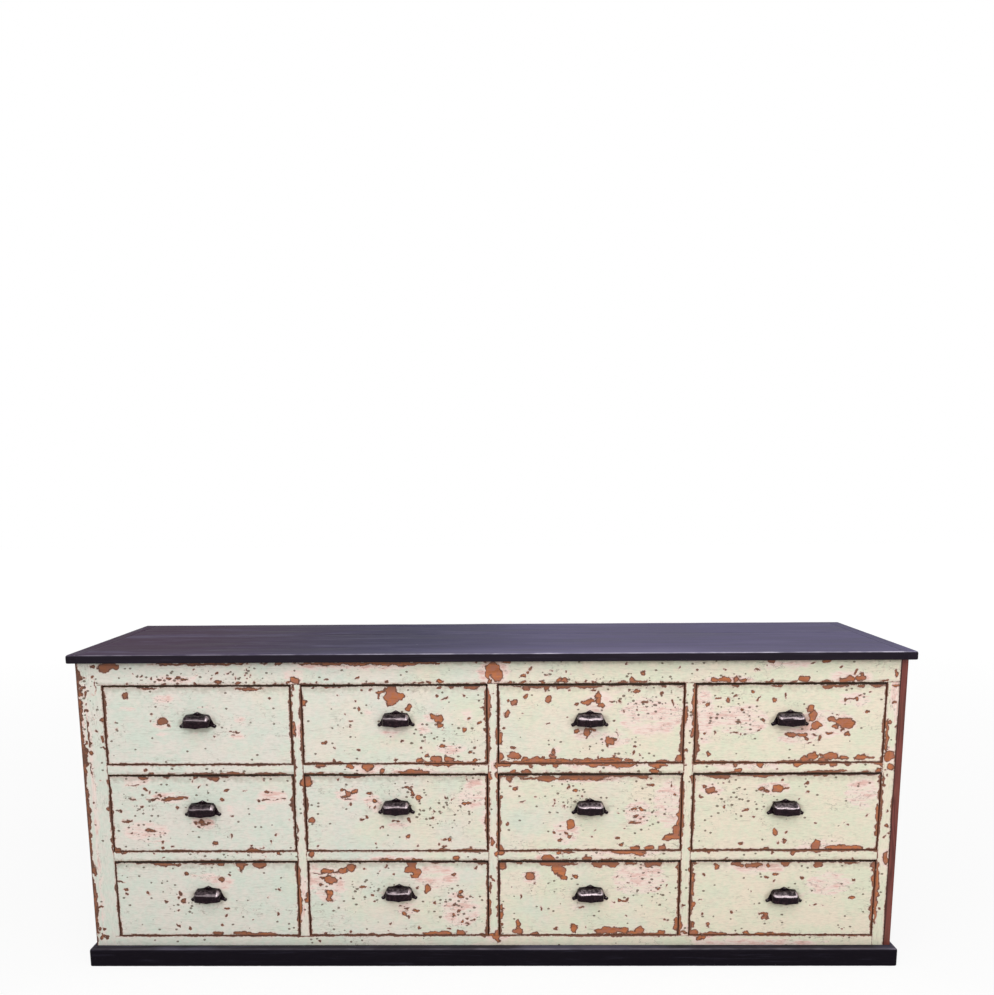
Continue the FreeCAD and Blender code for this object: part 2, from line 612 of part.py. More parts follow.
# ---------------------------------------------------------------- build
def build():
    os.makedirs("parts", exist_ok=True)
    planks, lipping_left, lipping_right = top_pieces()
    export("top_board", planks)
    export("top_end_left", [lipping_left])
    export("top_end_right", [lipping_right])
    plinth_front, plinth_left, plinth_right = plinth_pieces()
    export("plinth_front", [plinth_front])
    export("plinth_left", [plinth_left])
    export("plinth_right", [plinth_right])

    export("side_left", [side_panel(X_LEFT, X_INSIDE_LEFT, X_INSIDE_LEFT)])
    export("side_right", [side_panel(X_INSIDE_RIGHT, X_RIGHT, X_INSIDE_RIGHT)])
    export("back_boards", back_boards())
    export("bottom_board", [bottom_board()])
    export("bearers", bearers())
    export("partitions", partitions())

    export("stile_left", [left_stile()])
    export("filler_left", [left_filler()])
    export("stile_right", [right_stile()])
    export("top_rail", [top_rail()])
    export("bottom_rail", [bottom_rail()])
    export("uprights", uprights())
    export("cross_rails_upper", cross_rails(1))
    export("cross_rails_lower", cross_rails(2))

    export("runners", runners())
    export("kickers", kickers())
    export("guides", guides())
    export("stops", stops())

    pull_solids = pull()
    for row in range(1, ROWS + 1):
        for column in range(1, COLUMNS + 1):
            name = "drawer_r%dc%d_" % (row, column)
            front, box = drawer(row, column)
            export(name + "front", [front])
            export(name + "box", box)
            place = pull_place(row, column)
            export(name + "pull", [solid.translated(place) for solid in pull_solids])


build()
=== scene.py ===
# %% [markdown]
# # A painted shop counter with twelve drawers
#
# The object is a long, low bank of drawers from a shop: four columns and three rows of drawers
# under one black plank top, on a black plinth. Its front was painted many times, last in pale
# green, and the paint has chipped down to orange-brown wood. Every drawer has a cast cup pull.
#
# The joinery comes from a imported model, and its pieces are named below by their node. This
# script adds what a maker would call the finish. It measures everything from that model,
# so each new surface lies exactly where the board under it is.

# %% Load the model that everything is built around
import math

import bmesh
import bpy
import numpy as np
from mathutils import Matrix, Vector


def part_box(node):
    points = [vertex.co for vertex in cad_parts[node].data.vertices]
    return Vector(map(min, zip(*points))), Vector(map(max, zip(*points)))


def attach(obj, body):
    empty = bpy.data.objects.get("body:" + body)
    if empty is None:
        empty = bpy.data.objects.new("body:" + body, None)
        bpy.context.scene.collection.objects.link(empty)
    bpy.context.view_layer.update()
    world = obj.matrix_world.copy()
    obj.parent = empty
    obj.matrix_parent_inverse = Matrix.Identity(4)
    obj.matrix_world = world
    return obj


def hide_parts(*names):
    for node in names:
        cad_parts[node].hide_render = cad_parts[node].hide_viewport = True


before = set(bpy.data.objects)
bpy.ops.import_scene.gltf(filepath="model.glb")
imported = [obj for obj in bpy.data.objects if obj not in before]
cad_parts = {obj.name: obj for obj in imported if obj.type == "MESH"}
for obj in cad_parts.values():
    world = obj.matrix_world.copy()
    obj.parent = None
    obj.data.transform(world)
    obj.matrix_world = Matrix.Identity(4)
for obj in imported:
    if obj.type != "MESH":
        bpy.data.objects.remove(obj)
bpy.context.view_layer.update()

# %% [markdown]
# ## The camera
#
# A camera comes first, because what it sees decides how fine each piece has to be. It stands in
# front of the counter at chest height and looks slightly down. A view camera can slide its film
# instead of tilting its lens, which keeps upright lines upright. Blender's shift does the same,
# and here a little of it puts the counter in the lower part of a square picture.

# %% The camera
CAMERA_PLACE = (0.0211, -2.4172, 1.2048)
CAMERA_YAW = math.radians(-0.755)  # to the right of straight ahead
CAMERA_PITCH = math.radians(8.883)  # down
CAMERA_ROLL = math.radians(0.415)
CAMERA_LENS = 32.16  # millimetres, on film 36 mm high
CAMERA_SHIFT = (0.011, 0.1405)


def camera_axes(yaw, pitch, roll):
    """Right, up and back of a camera that looks along +Y before it is turned."""
    ahead = Vector((math.sin(yaw) * math.cos(pitch), math.cos(yaw) * math.cos(pitch),
                    -math.sin(pitch)))
    level = Vector((math.cos(yaw), -math.sin(yaw), 0.0))
    down = ahead.cross(level)
    right = math.cos(roll) * level + math.sin(roll) * down
    up = math.sin(roll) * level - math.cos(roll) * down
    return right, up, -ahead


camera = bpy.data.objects.new("camera", bpy.data.cameras.new("camera"))
bpy.context.scene.collection.objects.link(camera)
bpy.context.scene.camera = camera
turned = Matrix(camera_axes(CAMERA_YAW, CAMERA_PITCH, CAMERA_ROLL)).transposed()
camera.matrix_world = Matrix.Translation(CAMERA_PLACE) @ turned.to_4x4()
camera.data.lens = CAMERA_LENS
camera.data.shift_x, camera.data.shift_y = CAMERA_SHIFT
bpy.context.scene.view_settings.view_transform = "Standard"
print("camera", [round(v, 3) for v in camera.location], "lens", CAMERA_LENS, "mm")

# %% [markdown]
# ## A short way to write node trees
#
# Every finish below is procedural: a tree of noise, masks and colours. Written out in full, such
# trees are mostly wiring. This small class adds one node per call and hands back its output, so
# that a finish reads as a list of what it is made of. Colours are written as they look on a
# screen, from 0 to 255, and turned into the linear values that Blender works in.

# %% Helpers for node trees
def paint_colour(red, green, blue):
    """A colour as it looks on a screen, as Blender's linear colour."""
    def linear(value):
        share = value / 255.0
        return share / 12.92 if share <= 0.04045 else ((share + 0.055) / 1.055) ** 2.4
    return (linear(red), linear(green), linear(blue), 1.0)


class Tree:
    """Adds nodes to a node tree. The methods after add and feed hand back the node's output."""

    def __init__(self, tree):
        self.tree = tree

    def add(self, kind, inputs=(), **settings):
        """Adds one node and hands back the node itself. Inputs go by name or by number."""
        made = self.tree.nodes.new(kind)
        for name, value in settings.items():
            setattr(made, name, value)
        for key, value in dict(inputs).items():
            self.feed(made.inputs[key], value)
        return made

    def feed(self, socket, value):
        """Sets a socket to a value, or links another node's output to it."""
        if isinstance(value, bpy.types.NodeSocket):
            self.tree.links.new(value, socket)
        else:
            socket.default_value = value

    def math(self, operation, *values, clamp=False):
        made = self.add("ShaderNodeMath", operation=operation, use_clamp=clamp)
        for socket, value in zip(made.inputs, values):
            self.feed(socket, value)
        return made.outputs[0]

    def stretch(self, vector, x, y, z):
        made = self.add("ShaderNodeVectorMath", {0: vector, 1: (x, y, z)}, operation="MULTIPLY")
        return made.outputs[0]

    def parts(self, vector):
        """The X, Y and Z of a vector."""
        return self.add("ShaderNodeSeparateXYZ", {"Vector": vector}).outputs

    def join(self, x, y, z):
        return self.add("ShaderNodeCombineXYZ", {"X": x, "Y": y, "Z": z}).outputs[0]

    def noise(self, vector, scale, detail=2.0, roughness=0.5, distortion=0.0):
        made = self.add("ShaderNodeTexNoise", {
            "Vector": vector, "Scale": scale, "Detail": detail, "Roughness": roughness,
            "Distortion": distortion})
        return made.outputs["Fac"]

    def swing(self, vector, scale, reach, **more):
        """Noise that swings evenly round 0, to about reach each way."""
        centred = self.math("SUBTRACT", self.noise(vector, scale, **more), 0.5)
        return self.math("MULTIPLY", centred, 4.0 * reach)

    def step(self, value, low, high, to_low=0.0, to_high=1.0):
        """A soft step from to_low, where the value is low, to to_high, where it is high."""
        made = self.add("ShaderNodeMapRange", {
            "Value": value, "From Min": low, "From Max": high, "To Min": to_low,
            "To Max": to_high}, interpolation_type="SMOOTHSTEP")
        return made.outputs[0]

    def mix(self, share, first, second):
        """First where the share is 0, second where it is 1. The colours are sockets 6 and 7."""
        made = self.add("ShaderNodeMix", {0: share, 6: first, 7: second}, data_type="RGBA")
        return made.outputs[2]


# %% Groups and materials
def new_group(name, inputs, outputs):
    """An empty shader group with named sockets: (name, kind, value) in, (name, kind) out."""
    kinds = {"value": "NodeSocketFloat", "colour": "NodeSocketColor", "vector": "NodeSocketVector"}
    group = bpy.data.node_groups.new(name, "ShaderNodeTree")
    for label, kind, value in inputs:
        socket = group.interface.new_socket(label, in_out="INPUT", socket_type=kinds[kind])
        if value is not None:
            socket.default_value = value
    for label, kind in outputs:
        group.interface.new_socket(label, in_out="OUTPUT", socket_type=kinds[kind])
    start = group.nodes.new("NodeGroupInput")
    end = group.nodes.new("NodeGroupOutput")
    return group, Tree(group), start.outputs, end.inputs


def new_material(name):
    """A material with an empty tree but for its Principled shader and its output."""
    material = bpy.data.materials.new(name)
    material.use_nodes = True
    material.node_tree.nodes.clear()
    tree = Tree(material.node_tree)
    shader = tree.add("ShaderNodeBsdfPrincipled")
    out = tree.add("ShaderNodeOutputMaterial")
    tree.feed(out.inputs["Surface"], shader.outputs[0])
    return material, tree, shader


def place_group(tree, group, inputs):
    """One use of a shared group in a material, with its own values."""
    return tree.add("ShaderNodeGroup", inputs, node_tree=group).outputs


def attribute(tree, name):
    """A value that is stored on each corner of the mesh."""
    return tree.add("ShaderNodeAttribute", attribute_name=name).outputs["Fac"]


def bump(tree, height, depth):
    """A normal from a height, with depth in metres."""
    made = tree.add("ShaderNodeBump", {"Height": height, "Distance": depth})
    return made.outputs["Normal"]

# %% [markdown]
# ## The room and the floor
#
# The light is that of a plain studio with a pale room round it. The white background is a trick
# of Light Path: what the camera sees directly, and what gloss and glass reflect, is white at full
# strength, while the room lights the object with less than half of that.
#
# The floor works in the same way. For the camera it glows nearly white, a little less close to
# the counter than far away, and a small share of real shading is added, so the counter still has
# a faint shadow on it. For every other ray it is a plain, pale, matt floor.

# %% The room
ROOM_FILL = 0.48  # strength of the room's light on the object
FLOOR_SIZE = 40.0
FLOOR_GREY = 0.8  # what the floor reflects on to the counter
FLOOR_GLOW = (0.875, 0.96)  # of white, for the camera: close by and far away
FLOOR_REACH = (1.5, 7.0)  # metres between which it goes from one to the other
FLOOR_SHADE = 0.12  # the share that a shadow can take away


def grey(level):
    return (level, level, level, 1.0)


def make_world():
    """White for the camera, gloss and glass, and a weaker fill for everything else."""
    world = bpy.data.worlds.new("pale_room")
    world.use_nodes = True
    world.node_tree.nodes.clear()
    tree = Tree(world.node_tree)
    path = tree.add("ShaderNodeLightPath").outputs
    seen = tree.math("MAXIMUM", path["Is Camera Ray"], path["Is Glossy Ray"])
    seen = tree.math("MAXIMUM", seen, path["Is Transmission Ray"])
    fill = tree.add("ShaderNodeBackground", {"Color": grey(1.0), "Strength": ROOM_FILL})
    white = tree.add("ShaderNodeBackground", {"Color": grey(1.0)})
    mixed = tree.add("ShaderNodeMixShader", {0: seen, 1: fill.outputs[0], 2: white.outputs[0]})
    tree.add("ShaderNodeOutputWorld", {"Surface": mixed.outputs[0]})
    bpy.context.scene.world = world


def make_floor():
    """A floor that glows for the camera and is plain matt grey for all other rays."""
    mesh = bpy.data.meshes.new("studio_floor")
    half = FLOOR_SIZE / 2
    mesh.from_pydata([(-half, -half, 0), (half, -half, 0), (half, half, 0), (-half, half, 0)],
                     [], [(0, 1, 2, 3)])
    floor = bpy.data.objects.new("studio_floor", mesh)
    bpy.context.scene.collection.objects.link(floor)
    material = bpy.data.materials.new("pale_floor")
    material.use_nodes = True
    material.node_tree.nodes.clear()
    tree = Tree(material.node_tree)
    path = tree.add("ShaderNodeLightPath").outputs
    place = tree.add("ShaderNodeTexCoord").outputs["Object"]
    away = tree.add("ShaderNodeVectorMath", {0: place}, operation="LENGTH").outputs["Value"]
    glow = tree.add("ShaderNodeMapRange", {
        "Value": away, "From Min": FLOOR_REACH[0], "From Max": FLOOR_REACH[1],
        "To Min": FLOOR_GLOW[0], "To Max": FLOOR_GLOW[1]}).outputs[0]
    plain = tree.add("ShaderNodeBsdfDiffuse", {"Color": grey(FLOOR_GREY)})
    shade = tree.add("ShaderNodeBsdfDiffuse", {"Color": grey(FLOOR_SHADE)})
    light = tree.add("ShaderNodeEmission", {"Strength": glow})
    seen = tree.add("ShaderNodeAddShader", {0: shade.outputs[0], 1: light.outputs[0]})
    mixed = tree.add("ShaderNodeMixShader", {
        0: path["Is Camera Ray"], 1: plain.outputs[0], 2: seen.outputs[0]})
    tree.add("ShaderNodeOutputMaterial", {"Surface": mixed.outputs[0]})
    mesh.materials.append(material)


make_world()
make_floor()
print("a floor", FLOOR_SIZE, "m wide, in a room that fills with", ROOM_FILL)

# %% [markdown]
# ## The lamps
#
# Three soft lamps do the rest. A wide soft box above and in front makes the front and the top
# even. A broad window in front, lower down, fills the shade under the top and adds to the bright
# line across each pull, which the pulls' finish also paints as a highlight. A small window on the
# right makes the right end a little brighter than the left, and the painted sheen and highlights
# grow towards the right as well. Their strength is set so that a painted colour renders about as
# it is written below.

# %% The lamps
LAMPS = [
    # name, place, what it points at, width, height, watts
    ("soft_box_above", (-0.3, -2.6, 3.6), (0.0, 0.0, 0.45), 4.5, 2.4, 66.0),
    ("window_in_front", (0.3, -4.2, 2.3), (0.0, 0.0, 0.45), 4.4, 1.2, 60.0),
    ("window_right", (3.4, -2.6, 1.8), (0.2, 0.0, 0.45), 0.8, 1.2, 18.0),
]


def make_lamp(name, place, aim, width, height, watts):
    data = bpy.data.lights.new(name, "AREA")
    data.shape = "RECTANGLE"
    data.size = width
    data.size_y = height
    data.energy = watts
    lamp = bpy.data.objects.new(name, data)
    bpy.context.scene.collection.objects.link(lamp)
    lamp.location = place
    lamp.rotation_euler = (Vector(aim) - Vector(place)).to_track_quat("-Z", "Y").to_euler()
    lamp.visible_camera = False


for lamp in LAMPS:
    make_lamp(*lamp)
print(len(LAMPS), "lamps")

# %% [markdown]
# ## Effects that several finishes share
#
# Grain, brush strokes, flaked paint, specks and scuffs each turn up in more than one finish. An
# effect like that is best made as a node group: it is built once, and each material places it
# with its own values. Groups only put out colours, masks and heights here, and the shader that
# uses them stays in the material.
#
# ### Wood grain
#
# Old pine shows dark late-wood bands that run along the board, and fine fibres between them. An
# image of wood would repeat. Instead, one slow noise is stretched along the board and cut into
# bands, which gives the long flames of a sawn board, and a much finer one gives the fibres.

# %% Wood grain
def make_grain():
    """Streaks along one axis. The vector is stretched by the material, so that X is the grain."""
    group, tree, given, out = new_group(
        "wood_grain",
        [("Place", "vector", None), ("Light", "colour", paint_colour(190, 150, 105)),
         ("Dark", "colour", paint_colour(120, 85, 55)), ("Contrast", "value", 1.0)],
        [("Colour", "colour"), ("Height", "value"), ("Roughness", "value")])
    place = given["Place"]
    slow = tree.noise(tree.stretch(place, 1.2, 14.0, 14.0), 1.0, detail=3.0, distortion=1.6)
    bands = tree.math("FRACT", tree.math("MULTIPLY", slow, 9.0))
    bands = tree.math("ABSOLUTE", tree.math("SUBTRACT", bands, 0.5))
    fibre = tree.noise(tree.stretch(place, 14.0, 520.0, 520.0), 1.0, detail=2.0, roughness=0.6)
    pores = tree.noise(tree.stretch(place, 45.0, 1500.0, 1500.0), 1.0, detail=1.0)
    tone = tree.math("MULTIPLY_ADD", bands, 0.9, tree.math("MULTIPLY", fibre, 0.75))
    tone = tree.step(tone, 0.25, 0.95)
    tone = tree.math("MULTIPLY", tone, given["Contrast"], clamp=True)
    tree.feed(out["Colour"], tree.mix(tone, given["Light"], given["Dark"]))
    tree.feed(out["Height"], tree.math("MULTIPLY_ADD", fibre, 0.7, tree.math(
        "MULTIPLY", tree.step(pores, 0.35, 0.5), 0.3)))
    tree.feed(out["Roughness"], tree.step(fibre, 0.2, 0.8, 0.52, 0.72))
    return group


WOOD_GRAIN = make_grain()


# %% [markdown]
# ### Brushed paint
#
# A brush leaves fine ridges along its stroke, and hand-mixed oil paint dries in slightly uneven
# tones. The ridges are a noise stretched along the board, which feeds the height too, so that
# they catch the light. The tones are two slower noises that lean between two given colours.

# %% Brushed paint
def make_brushed():
    """Brush strokes along X, and slow clouds of tone."""
    group, tree, given, out = new_group(
        "brushed_paint",
        [("Place", "vector", None), ("First", "colour", paint_colour(210, 214, 200)),
         ("Second", "colour", paint_colour(220, 216, 196)), ("Strokes", "value", 0.06)],
        [("Colour", "colour"), ("Height", "value"), ("Cloud", "value")])
    place = given["Place"]
    cloud = tree.noise(tree.stretch(place, 11.0, 15.0, 15.0), 1.0, detail=7.0, roughness=0.7)
    strokes = tree.noise(tree.stretch(place, 60.0, 260.0, 260.0), 1.0, detail=4.0, roughness=0.75)
    mottle = tree.noise(place, 60.0, detail=6.0, roughness=0.75)
    tint = tree.math("ADD", tree.math("MULTIPLY", cloud, 0.6), tree.math("MULTIPLY", mottle, 0.4))
    colour = tree.mix(tree.step(tint, 0.40, 0.60), given["First"], given["Second"])
    darker = tree.math("MULTIPLY", tree.step(strokes, 0.56, 0.40), given["Strokes"])
    colour = tree.mix(darker, colour, paint_colour(120, 118, 100))
    tree.feed(out["Colour"], colour)
    tree.feed(out["Height"], strokes)
    tree.feed(out["Cloud"], cloud)
    return group


BRUSHED_PAINT = make_brushed()


# %% [markdown]
# ### Flaked paint
#
# Where thick paint has flaked off, the wood is bare, a dark line runs along the broken edge, of
# dirt and of painted shade under the step of the paint, and round it shows a band of the older
# coat. The mesh only stores a smooth depth inside each chip. Noise is added to that depth here,
# and each mask is a range of the sum, so all the bands follow the same ragged outline.

# %% Flaked paint
def make_flaked():
    """Turns a smooth depth inside a chip, in millimetres, into the ragged masks of a real one."""
    group, tree, given, out = new_group(
        "flaked_paint",
        [("Place", "vector", None), ("Depth", "value", -20.0), ("Lobes", "value", 1.25),
         ("Crumbs", "value", 1.0)],
        [("Bare", "value"), ("Rim", "value"), ("Halo", "value"), ("Fray", "value"),
         ("Deep", "value")])
    place = given["Place"]
    lobes = tree.math("MULTIPLY", tree.swing(place, 190.0, 1.0, detail=3.0), given["Lobes"])
    crumbs = tree.math("MULTIPLY", tree.swing(place, 560.0, 1.0, detail=3.0), given["Crumbs"])
    depth = tree.math("ADD", given["Depth"], tree.math("ADD", lobes, crumbs))
    inner = tree.math("ADD", depth, tree.swing(place, 130.0, 1.2, detail=3.0))
    tree.feed(out["Bare"], tree.step(depth, -0.12, 0.16))
    tree.feed(out["Rim"], tree.math("MULTIPLY", tree.step(depth, -0.3, 0.1), tree.step(
        depth, 1.3, 0.4)))
    tree.feed(out["Halo"], tree.step(inner, -3.0, -0.4))
    tree.feed(out["Fray"], tree.step(tree.math("ADD", inner, crumbs), -1.5, -0.3))
    tree.feed(out["Deep"], tree.step(inner, 1.6, 4.0))
    return group


FLAKED_PAINT = make_flaked()


# %% [markdown]
# ### Specks
#
# Small knocks and flyspecks are round and lie scattered. A Voronoi texture divides the surface
# into cells, and each cell has a random colour of its own: one part of it decides whether the
# cell holds a dot, and another how large the dot is. Most dots stay small, as real ones do.

# %% Specks
def make_specks():
    """Scattered dots. Per Metre is the number of cells along a metre, More the share of them
    that hold a dot, and Largest the radius of the largest dot in millimetres."""
    group, tree, given, out = new_group(
        "scattered_specks",
        [("Place", "vector", None), ("Per Metre", "value", 90.0), ("More", "value", 0.2),
         ("Largest", "value", 1.8)],
        [("Speck", "value")])
    cells = tree.add("ShaderNodeTexVoronoi", {
        "Vector": tree.stretch(given["Place"], 0.75, 1.0, 1.0), "Scale": given["Per Metre"],
        "Randomness": 1.0})
    parts = tree.add("ShaderNodeSeparateColor", {"Color": cells.outputs["Color"]})
    away = tree.math("DIVIDE", tree.math("MULTIPLY", cells.outputs["Distance"], 1000.0),
                     given["Per Metre"])
    size = tree.math("MULTIPLY", tree.math("POWER", parts.outputs[1], 2.2), given["Largest"])
    size = tree.math("ADD", size, 0.45)
    ragged = tree.math("ADD", away, tree.swing(given["Place"], 420.0, 0.7, detail=3.0))
    dot = tree.step(tree.math("SUBTRACT", size, ragged), -0.15, 0.2)
    there = tree.math("LESS_THAN", parts.outputs[0], given["More"])
    tree.feed(out["Speck"], tree.math("MULTIPLY", dot, there))
    return group


SPECKS = make_specks()


# %% [markdown]
# ### Scuffs
#
# Keys, rings and sleeves leave thin grey scribbles on paint. A contour line of a noise has just
# that shape: where the noise is close to its middle value, it draws a thin curved line. A slower
# noise keeps the lines in patches and breaks them up.

# %% Scuffs
def make_scuffs():
    """Thin scribbles, as of rubbed-off dirt: the contour lines of a noise, kept in patches."""
    group, tree, given, out = new_group(
        "thin_scuffs",
        [("Place", "vector", None), ("More", "value", 0.0)],
        [("Scuff", "value")])
    place = given["Place"]
    lines = tree.noise(tree.stretch(place, 40.0, 95.0, 95.0), 1.0, detail=3.0, roughness=0.6)
    line = tree.math("ABSOLUTE", tree.math("SUBTRACT", lines, 0.5))
    broad = tree.noise(tree.stretch(place, 11.0, 19.0, 19.0), 1.0, detail=3.0, roughness=0.6)
    patch = tree.step(tree.math("ADD", broad, given["More"]), 0.50, 0.64)
    gaps = tree.step(tree.noise(place, 130.0, detail=2.0), 0.46, 0.56)
    thin = tree.math("MULTIPLY", tree.step(line, 0.030, 0.006), gaps)
    tree.feed(out["Scuff"], tree.math("MULTIPLY", thin, patch))
    return group


SCUFFS = make_scuffs()
print("shared effects:", [group.name for group in bpy.data.node_groups])

# %% [markdown]
# ## Pale green paint, worn through
#
# The finish reads four values that are stored on each corner of a painted board. "bare" says
# how deep a spot lies inside a chip, "wear_and_highlight" how far the top coat is worn down to the
# pink-white undercoat, "specks" how many small knocks there are, and "rim" how far the board's
# edge is, or a darkened spot. Where the rim is low the paint darkens: grime, and painted shade in
# the gaps above the drawers, under the top and below each pull. The masks only decide where each
# coat shows, and the ragged outlines come from the shared groups.
#
# Oil paint yellows unevenly. The left end of this counter has stayed cool and the right end has
# turned to cream, so both coats drift along the counter's length.

# %% The worn green paint
COOL_GREEN, COOL_CREAM = paint_colour(205, 212, 199), paint_colour(218, 211, 201)
WARM_GREEN, WARM_CREAM = paint_colour(213, 214, 190), paint_colour(225, 212, 192)
UNDERCOAT = paint_colour(231, 210, 202)
DEEP_PINK = paint_colour(205, 150, 138)
# Dark brown: small chips, dirt and painted shade along a chip's broken edge, and painted shade in
# the gaps.
DIRT_AND_SHADE_BROWN = paint_colour(78, 54, 46)
ROSE_BROWN = paint_colour(108, 72, 56)
ROSE_WOOD = paint_colour(160, 102, 80)
CHIP_LIGHT, CHIP_DARK = paint_colour(188, 113, 70), paint_colour(148, 86, 54)
SPECK_BROWN = paint_colour(88, 70, 54)
SCUFF_GREY = paint_colour(134, 122, 108)
PINK_BROWN = paint_colour(184, 142, 126)
# Painted shadow, near black, at the very edge of a gap and down its walls.
PAINTED_GAP_SHADOW = paint_colour(34, 26, 24)
# Grime near the edges, and painted shade in the gaps above the drawers, under the top and below
# each pull.
GRIME_AND_SHADE = paint_colour(120, 104, 84)


def worn_green(name, upright=False):
    """Worn green paint. On an upright board the brush strokes run up and down."""
    material, tree, shader = new_material(name)
    place = tree.add("ShaderNodeTexCoord").outputs["Object"]
    parts = tree.parts(place)
    along = tree.join(parts[2], parts[1], parts[0]) if upright else place
    bare, wear_and_highlight = attribute(tree, "bare"), attribute(tree, "wear_and_highlight")
    specks, rim = attribute(tree, "specks"), attribute(tree, "rim")

    drift = tree.math("ADD", parts[0], tree.swing(place, 9.0, 0.5, detail=4.0))
    yellowed = tree.step(drift, -0.8, 0.6)
    coat = place_group(tree, BRUSHED_PAINT, {
        "Place": along, "Strokes": 0.12,
        "First": tree.mix(yellowed, COOL_GREEN, WARM_GREEN),
        "Second": tree.mix(yellowed, COOL_CREAM, WARM_CREAM)})
    flakes = place_group(tree, FLAKED_PAINT, {"Place": place, "Depth": bare})
    dots = place_group(tree, SPECKS, {"Place": place, "More": tree.math(
        "MULTIPLY_ADD", specks, 0.75, 0.22), "Largest": tree.math(
        "MULTIPLY_ADD", specks, 0.5, 2.6)})["Speck"]
    crumbs = place_group(tree, SPECKS, {
        "Place": along, "Per Metre": 170.0, "More": tree.math("MULTIPLY", specks, 0.42),
        "Largest": 1.5})["Speck"]
    dots = tree.math("MAXIMUM", dots, crumbs)
    scuffs = place_group(tree, SCUFFS, {"Place": along, "More": tree.math(
        "MULTIPLY_ADD", wear_and_highlight, 0.10, tree.math("MULTIPLY", specks, 0.06))})
    hairs = tree.noise(tree.stretch(along, 24.0, 430.0, 430.0), 1.0, detail=3.0, roughness=0.6)
    hair_patch = tree.noise(tree.stretch(along, 14.0, 24.0, 24.0), 1.0, detail=3.0)

    streaks = tree.swing(tree.stretch(along, 17.0, 55.0, 55.0), 1.0, 0.85, detail=8.0,
                         roughness=0.72)
    worn = tree.math("MULTIPLY_ADD", wear_and_highlight, 0.90, streaks)
    worn = tree.math("ADD", worn, tree.step(rim, 16.0, 3.0, 0.0, 0.3))
    faded = tree.step(worn, 0.35, 1.05, 0.0, 0.85)
    raw = tree.math("MULTIPLY", tree.step(worn, 0.92, 1.35), 0.6)
    colour = tree.mix(faded, coat["Colour"], UNDERCOAT)
    colour = tree.mix(raw, colour, DEEP_PINK)
    pink_hairs = tree.math("MULTIPLY", tree.step(hairs, 0.47, 0.32), tree.step(worn, 0.55, 0.95))
    colour = tree.mix(tree.math("MULTIPLY", pink_hairs, 0.8), colour, DEEP_PINK)
    dark_hairs = tree.math("MULTIPLY", tree.step(hairs, 0.57, 0.68), tree.step(
        hair_patch, 0.44, 0.60))
    colour = tree.mix(tree.math("MULTIPLY", dark_hairs, 0.42), colour, SCUFF_GREY)
    colour = tree.mix(tree.math("MULTIPLY", flakes["Halo"], 0.55), colour, UNDERCOAT)
    colour = tree.mix(tree.math("MULTIPLY", flakes["Fray"], 0.6), colour, PINK_BROWN)
    colour = tree.mix(tree.math("MULTIPLY", scuffs["Scuff"], 0.6), colour, SCUFF_GREY)
    # Near a low rim the paint darkens: grime along the edges, and painted shade in the gaps above
    # the drawers, under the top and below each pull.
    near_edge_grime_and_shade = tree.math("MULTIPLY", tree.step(tree.math("ADD", rim, tree.swing(
        place, 90.0, 4.0, detail=4.0)), 9.0, 0.0), 0.38)
    colour = tree.mix(near_edge_grime_and_shade, colour, GRIME_AND_SHADE)
    colour = tree.mix(tree.math("MULTIPLY", dots, 0.85), colour, SPECK_BROWN)

    wood = place_group(tree, WOOD_GRAIN, {
        "Place": along, "Light": CHIP_LIGHT, "Dark": CHIP_DARK, "Contrast": 0.9})
    shades = tree.noise(place, 75.0, detail=4.0, roughness=0.65)
    chip = tree.mix(tree.step(shades, 0.44, 0.60), wood["Colour"], ROSE_WOOD)
    clean = tree.math("MULTIPLY", flakes["Deep"], tree.step(parts[0], -0.75, -0.35, 0.35, 1.0))
    # Chips darken near a low rim, with grime and painted shade, and where they are shallow, the
    # more so at the left end.
    shade_and_dirt = tree.math("MAXIMUM", tree.step(rim, 8.0, 2.0, 0.0, 0.6), tree.step(
        clean, 0.0, 1.0, 0.85, 0.0))
    chip = tree.mix(shade_and_dirt, chip, ROSE_BROWN)
    small = tree.step(flakes["Deep"], 0.0, 0.5, 0.6, 0.0)
    small = tree.math("MULTIPLY", small, tree.step(parts[0], -0.6, 0.4, 1.0, 0.25))
    chip = tree.mix(small, chip, DIRT_AND_SHADE_BROWN)
    # Dirt and painted shade along each chip's broken edge.
    chip = tree.mix(tree.math("MULTIPLY", flakes["Rim"], 0.5), chip, DIRT_AND_SHADE_BROWN)
    # Painted shade in the gaps: a brown line, and near black at the very edge and down the gap
    # walls.
    painted_gap_shade = tree.step(tree.math("ADD", rim, tree.swing(place, 170.0, 0.5, detail=3.0)),
                         1.7, 0.5, 0.0, 0.75)
    chip = tree.mix(painted_gap_shade, chip, DIRT_AND_SHADE_BROWN)
    chip = tree.mix(tree.step(rim, 0.9, 0.35, 0.0, 0.85), chip, PAINTED_GAP_SHADOW)
    colour = tree.mix(flakes["Bare"], colour, chip)

    tree.feed(shader.inputs["Base Color"], colour)
    satin = tree.step(coat["Cloud"], 0.3, 0.7, 0.40, 0.52)
    satin = tree.math("ADD", satin, tree.math("MULTIPLY", faded, 0.1))
    rough = tree.add("ShaderNodeMix", {0: flakes["Bare"], 2: satin, 3: wood["Roughness"]})
    tree.feed(shader.inputs["Roughness"], rough.outputs[0])
    shader.inputs["Specular IOR Level"].default_value = 0.3
    film = tree.math("SUBTRACT", 1.0, tree.math("MAXIMUM", flakes["Bare"], dots))
    height = tree.math("MULTIPLY_ADD", coat["Height"], 0.45, film)
    height = tree.math("MULTIPLY_ADD", wood["Height"], 0.25, height)
    tree.feed(shader.inputs["Normal"], bump(tree, height, 0.00030))
    return material


